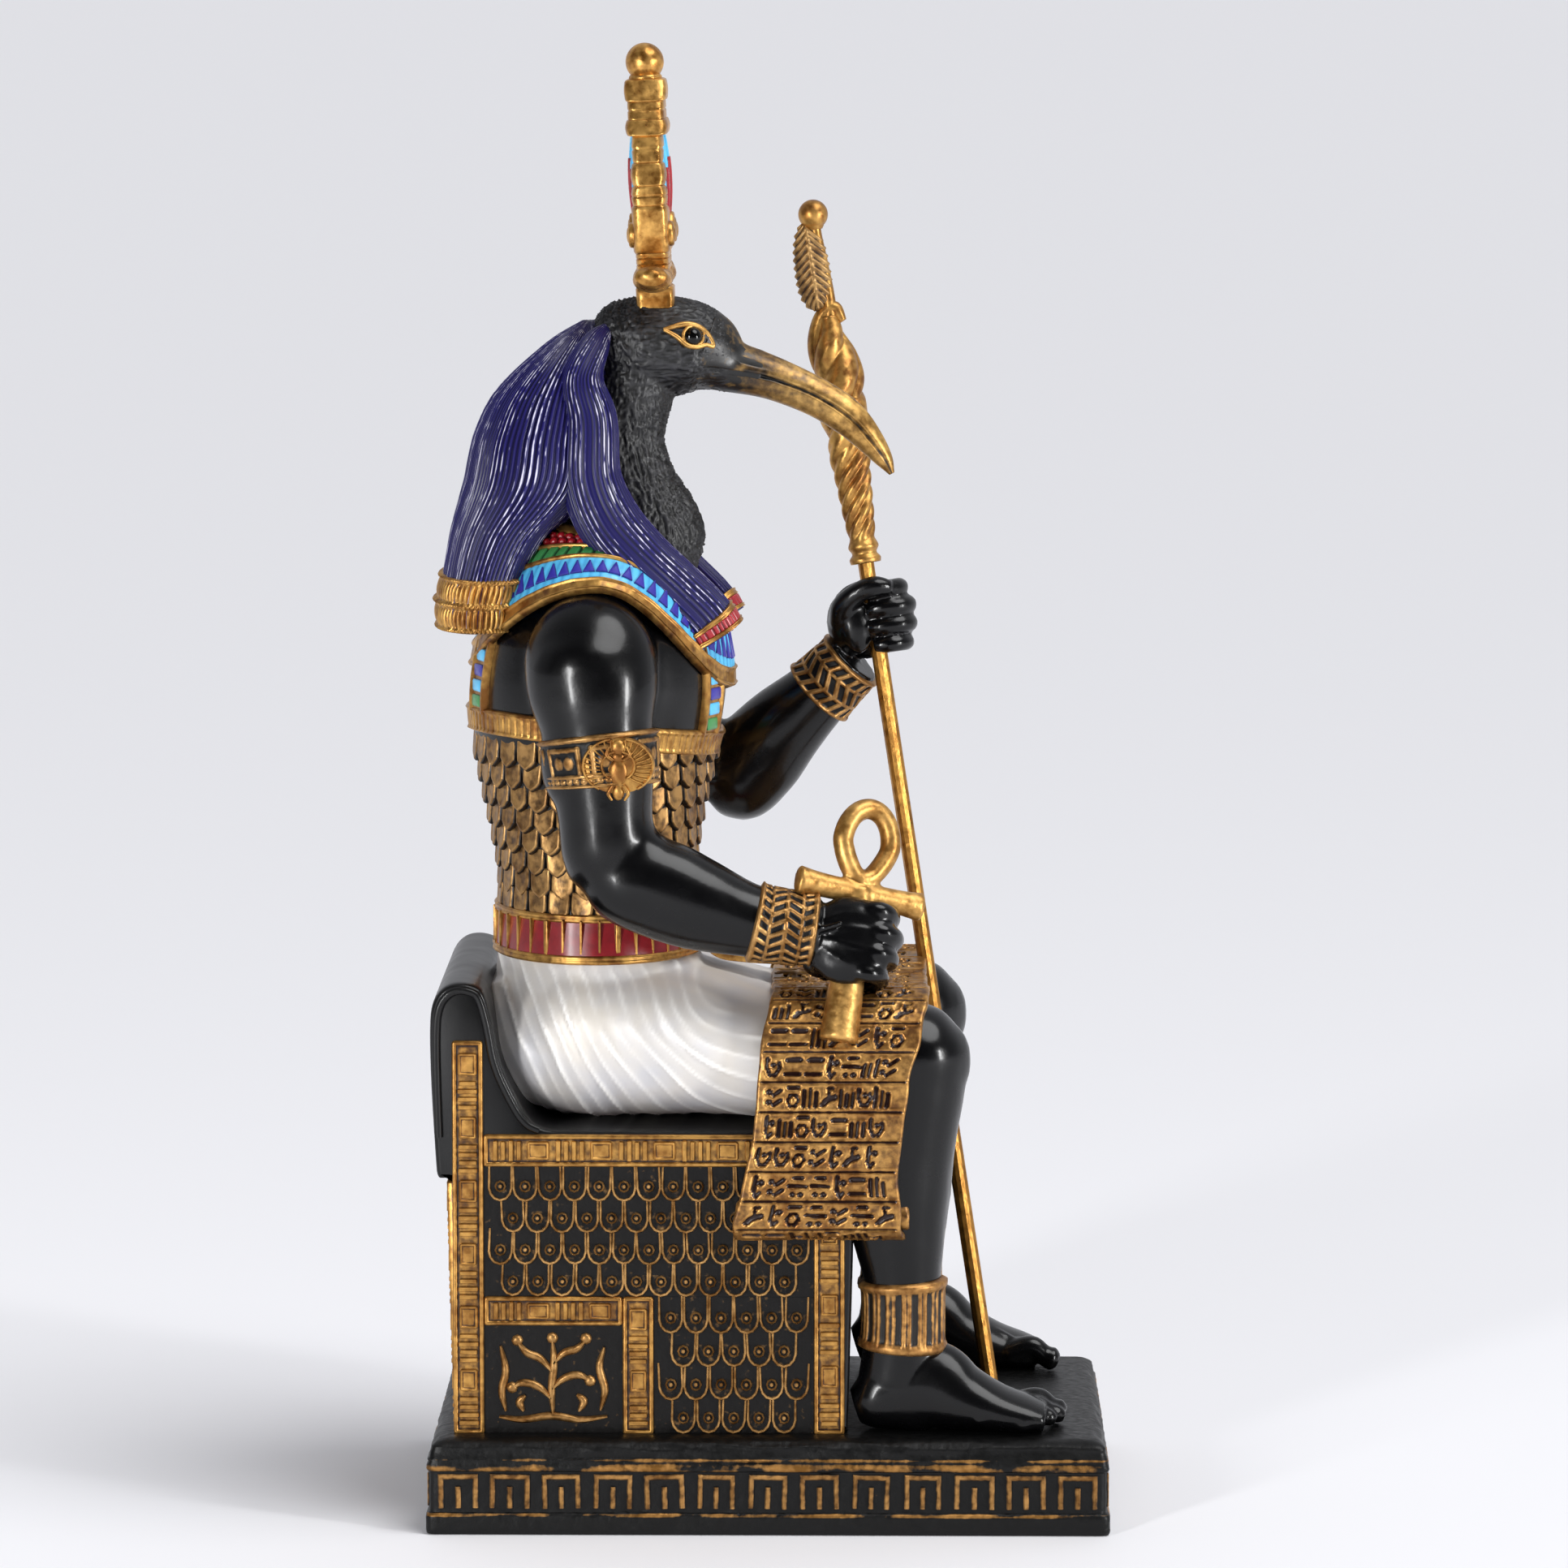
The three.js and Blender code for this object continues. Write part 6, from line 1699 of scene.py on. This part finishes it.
twist_table = [[0, 3.15], [1, 3.3], [2, 2.6], [3.4, 3.2], [5, 2.7], [7, 2.9], [14, 3.4], [26, 4.1],
    [38, 4.3], [47, 3.1], [52, 1.9], [60, 1.5], [72, 1.3]]
s, a = column(0, 52, 0.32), turns(72)
radius = between(twist_table, s)[..., 0]
twisted = clamp((s - 4) / 4) * clamp((52 - s) / 5)
phase = a - s / 3.4
rope, thick = np.abs(np.cos(phase * 3)) ** 0.8, np.abs(np.cos(phase)) ** 0.8
upper = clamp((s - 18) / 10)
lobes = rope * (1 - upper) + thick * upper
radius = radius * (1 + twisted * ((0.3 + 0.14 * upper) * lobes - 0.24)) - 0.12 * rope * upper * twisted
twist = np.stack([radius * np.cos(a), radius * np.sin(a), s * np.ones(72)], -1)
staff_gold = [skin(from_rod(twist), 0.35 + 0.65 * (lobes * twisted + (1 - twisted)))]
# Each is points, radii, sides and rows: stem, hood, two coils of the hood, and the collar under the ball.
staff_tubes = (([(0, 0, 48), (0.6, 0, 56), (0.3, 0, 64), (0, 0, 70), (0, 0, 71.5)],
    [1.7, 1.35, 1.25, 1.2, 1.5], 20, 40),
    ([(-1.2, 1.2, 38), (-3, 1.4, 42.5), (-3.2, 0.8, 47.5), (-1, 0.2, 52.5), (1.4, 0, 53.5),
    (2.8, -0.2, 50.5)], [1.6, 2.1, 1.9, 1.6, 1.5, 0.9], 18, 50),
    ([(2.2, -1.6, 34), (3.6, 0.4, 38.5), (3, 1.2, 43.5), (1.6, 0.2, 48)], [1.5, 1.9, 1.7, 1], 18, 40),
    ([(-3.2, -1.2, 30), (-4.2, 0.3, 34.5), (-3.4, 1, 39), (-2, 0.4, 42)], [1.2, 1.7, 1.5, 1], 18, 40),
    ([(0, 0, 70.2), (0, 0, 71.4), (0, 0, 72.6)], [1.5, 2.1, 1.7], 20, 14))
staff_gold += [tube(from_rod(np.array(points)), *rest) for points, *rest in staff_tubes]
staff_gold.insert(-1, skin(ball_grid(3.1, 40, 26, 0.04) + rod_top, 0.85))
piece("staff_casting", staff_gold, antique_gold, "staff_head")

# %% Plume on the staff
u, v = np.linspace(-1, 1, 90)[:, None], turns(72)
width = np.clip(1 - np.abs(u) ** 2.6, 0.02, 1) ** 0.5 * (1 - 0.12 * u)
barb = zigzag(u * 5.5 + 1.9 * np.abs(np.cos(v)))
spine = bell(np.cos(v) / 0.16)
relief = np.maximum(barb**0.7, spine)
plume_x = -1.9 + (3.3 * width + 0.6 * barb) * np.cos(v)
plume = np.stack([plume_x, (1.9 * width + 0.7 * relief) * np.sin(v), 62.6 + 9.2 * u * np.ones(72)], -1)
plume_paint = gold_paint("plume_gold_over_brown", "#2c190b", "#7c5c38", "#bd9862", 0.5)
piece("staff_plume", [skin(from_rod(plume), relief)], plume_paint, "staff_head")

# %% [markdown]
# ## Crown
# The crown is cast flat: three bound bundles of reeds with a disc on each, on a pair of horns, topped by a
# ball. From the side only its stepped bindings show: gold blocks with softened corners and cut lines. The
# bundles bulge out in front and behind in blue and red. It leans back slightly.

# %% Crown bindings
crown_lean, crown_bottom, crown_x = 0.045, 225.7, -23.3


def from_crown(x, y, z):
    """Points made upright on the crown's foot, by their three values, moved to their places."""
    x, y, z = np.broadcast_arrays(x, y, z)
    c, s = cos(crown_lean), sin(crown_lean)
    return np.stack([x * c - z * s + crown_x, y, z * c + x * s + crown_bottom], -1)


crown_outline = [[0, 5.9], [4, 5.8], [7, 9.6], [13, 12.6], [22, 13.8], [31, 12.4], [40, 8.6], [47, 4.6]]


def crown_block(z0, z1, thick, wide_extra, cuts=0, bow=0):
    """A binding across the crown with soft corners, cut lines and a little bow outwards."""
    z = np.linspace(z0, z1, 22)[:, None]
    share = (z - z0) / (z1 - z0)
    soft = clamp(np.minimum(share, 1 - share) / 0.07) ** 0.5
    cut = clamp(zigzag(share * cuts) - 0.78) / 0.22 * (cuts > 0)
    c, s = superellipse(turns(84), 7)
    deep = thick / 2 * (0.9 + 0.1 * soft) + bow * np.sin(pi * share) - 0.28 * cut
    wide = between(crown_outline, z)[..., 0] + wide_extra - 0.3 * (1 - soft) - 0.25 * cut
    return skin(from_crown(deep * c, wide * s, z), clamp(0.35 + 0.65 * soft - 0.6 * cut))


def crown_bundle(y, low, high, radius, lean):
    """A bundle of reeds: an egg-shaped pod with upright ribs."""
    share = np.linspace(0, 1, 34)[:, None]
    a = turns(96)
    ribs = np.abs(np.sin(a * 9))
    belly = radius * (0.5 + 0.55 * np.sin(pi * clamp(share * 0.85 + 0.08)) ** 0.8) + 0.3 * ribs
    y = y + lean * share + belly * 0.95 * np.sin(a)
    grid = from_crown(belly * np.cos(a), y, low + (high - low) * share)
    return grid, 0.3 + 0.7 * ribs * np.ones_like(share)


# Each is lower edge, upper edge, thickness, extra width, cut lines and bow.
crown_blocks = ((0, 4.6, 7.8, 0.2), (4.2, 8.2, 6.4, -0.3, 3, 0.3), (8, 11.8, 6.8, 0, 3),
    (11.5, 21.4, 7.6, 0.1), (21.1, 25.4, 6.7, 0, 2, 0.4), (25.1, 30, 6.4, -0.2, 0, 0.5),
    (29.7, 35.6, 6.1, -0.3, 2, 0.2), (35.3, 38.6, 8, 0.2, 0, 0.4), (38.4, 42.4, 7.6, 0.1, 2),
    (42.1, 46.6, 8.2, 0.4, 0, 0.3))
crown_shells = [crown_block(*numbers) for numbers in crown_blocks]
crown_ball = ball_grid(3.9, 40, 26, 0.04) + [0, 0, 49.97]
crown_shells.append(skin(from_crown(*np.moveaxis(crown_ball, -1, 0)), 0.85))
neck_z = np.linspace(46, 47.6, 10)[:, None]
neck_radius = 2.9 + 0.5 * np.sin(pi * (neck_z - 46) / 1.6)
a = turns(40)
crown_shells.append(skin(from_crown(neck_radius * np.cos(a), neck_radius * np.sin(a), neck_z), 0.8))
disc_share, disc_x = np.array([(1.0, 3.0), (1.0, 4.0), (0.93, 4.45), (0.8, 4.6), (0.72, 4.5), (0.5, 4.85),
    (0.2, 5)]).T[..., None]
a = turns(36)
for y, z, radius in ((0, 16.4, 3.2), (-9.2, 15.4, 2.6), (9.2, 15.4, 2.6)):
    for face in (-1, 1):
        disc = from_crown(face * disc_x, y + radius * disc_share * np.cos(a),
            z + radius * disc_share * np.sin(a))
        crown_shells.append(skin(disc, 0.8))
horn_y, horn_z = [2.5, 7, 13, 20, 24.8], [7.8, 6.9, 6.5, 6.7, 8]
t, a = np.linspace(0, 1, 120), turns(28)
notches = np.abs(np.sin(42 * t))
for side in (-1, 1):
    horn = from_crown(0, np.array(horn_y) * side, np.array(horn_z))
    line = smooth_rows([[*p, r, r] for p, r in zip(horn, (2.2, 2.5, 2.5, 2.3, 1.9))], t)
    radius = line[:, 3] * clamp((1.02 - t) / 0.09) ** 0.5 * (1 + 0.05 * notches)
    upright = unit(np.cross(unit(np.gradient(line[:, :3], axis=0)), [1, 0, 0]))[:, None]
    around = np.cos(a)[:, None] * [1.55, 0, 0] + np.sin(a)[:, None] * upright
    horn_grid = line[:, None, :3] + radius[:, None, None] * around
    crown_shells.append(skin(horn_grid, (0.5 + 0.5 * notches)[:, None]))
piece("crown_gold", crown_shells, crown_paint, "crown", sharp=55)

# %% Crown bundles
blue_pods, red_pods = [], []
for y, low, high, radius, lean in ((0, 14, 39, 3.85, 0), (-8.2, 14, 36, 3.5, 3), (8.2, 14, 36, 3.5, -3)):
    grid, ribs = crown_bundle(y, low, high, radius, lean)
    blue_pods.append(skin(grid, ribs))
    middle = grid.mean(1, keepdims=True)
    for first in (-6, 42):
        stripe = np.arange(first, first + 13) % 96
        reach = grid[:, stripe] - middle
        stripe_grid = middle + np.concatenate([reach * 1.05, reach[:, ::-1] * 1.05 * 0.9], 1)
        red_pods.append(skin(stripe_grid[4:23], np.tile(ribs[:, stripe], 2)[4:23]))
piece("crown_bundles_blue", blue_pods, sky_enamel, "crown")
piece("crown_bundles_red", red_pods, red_enamel, "crown")
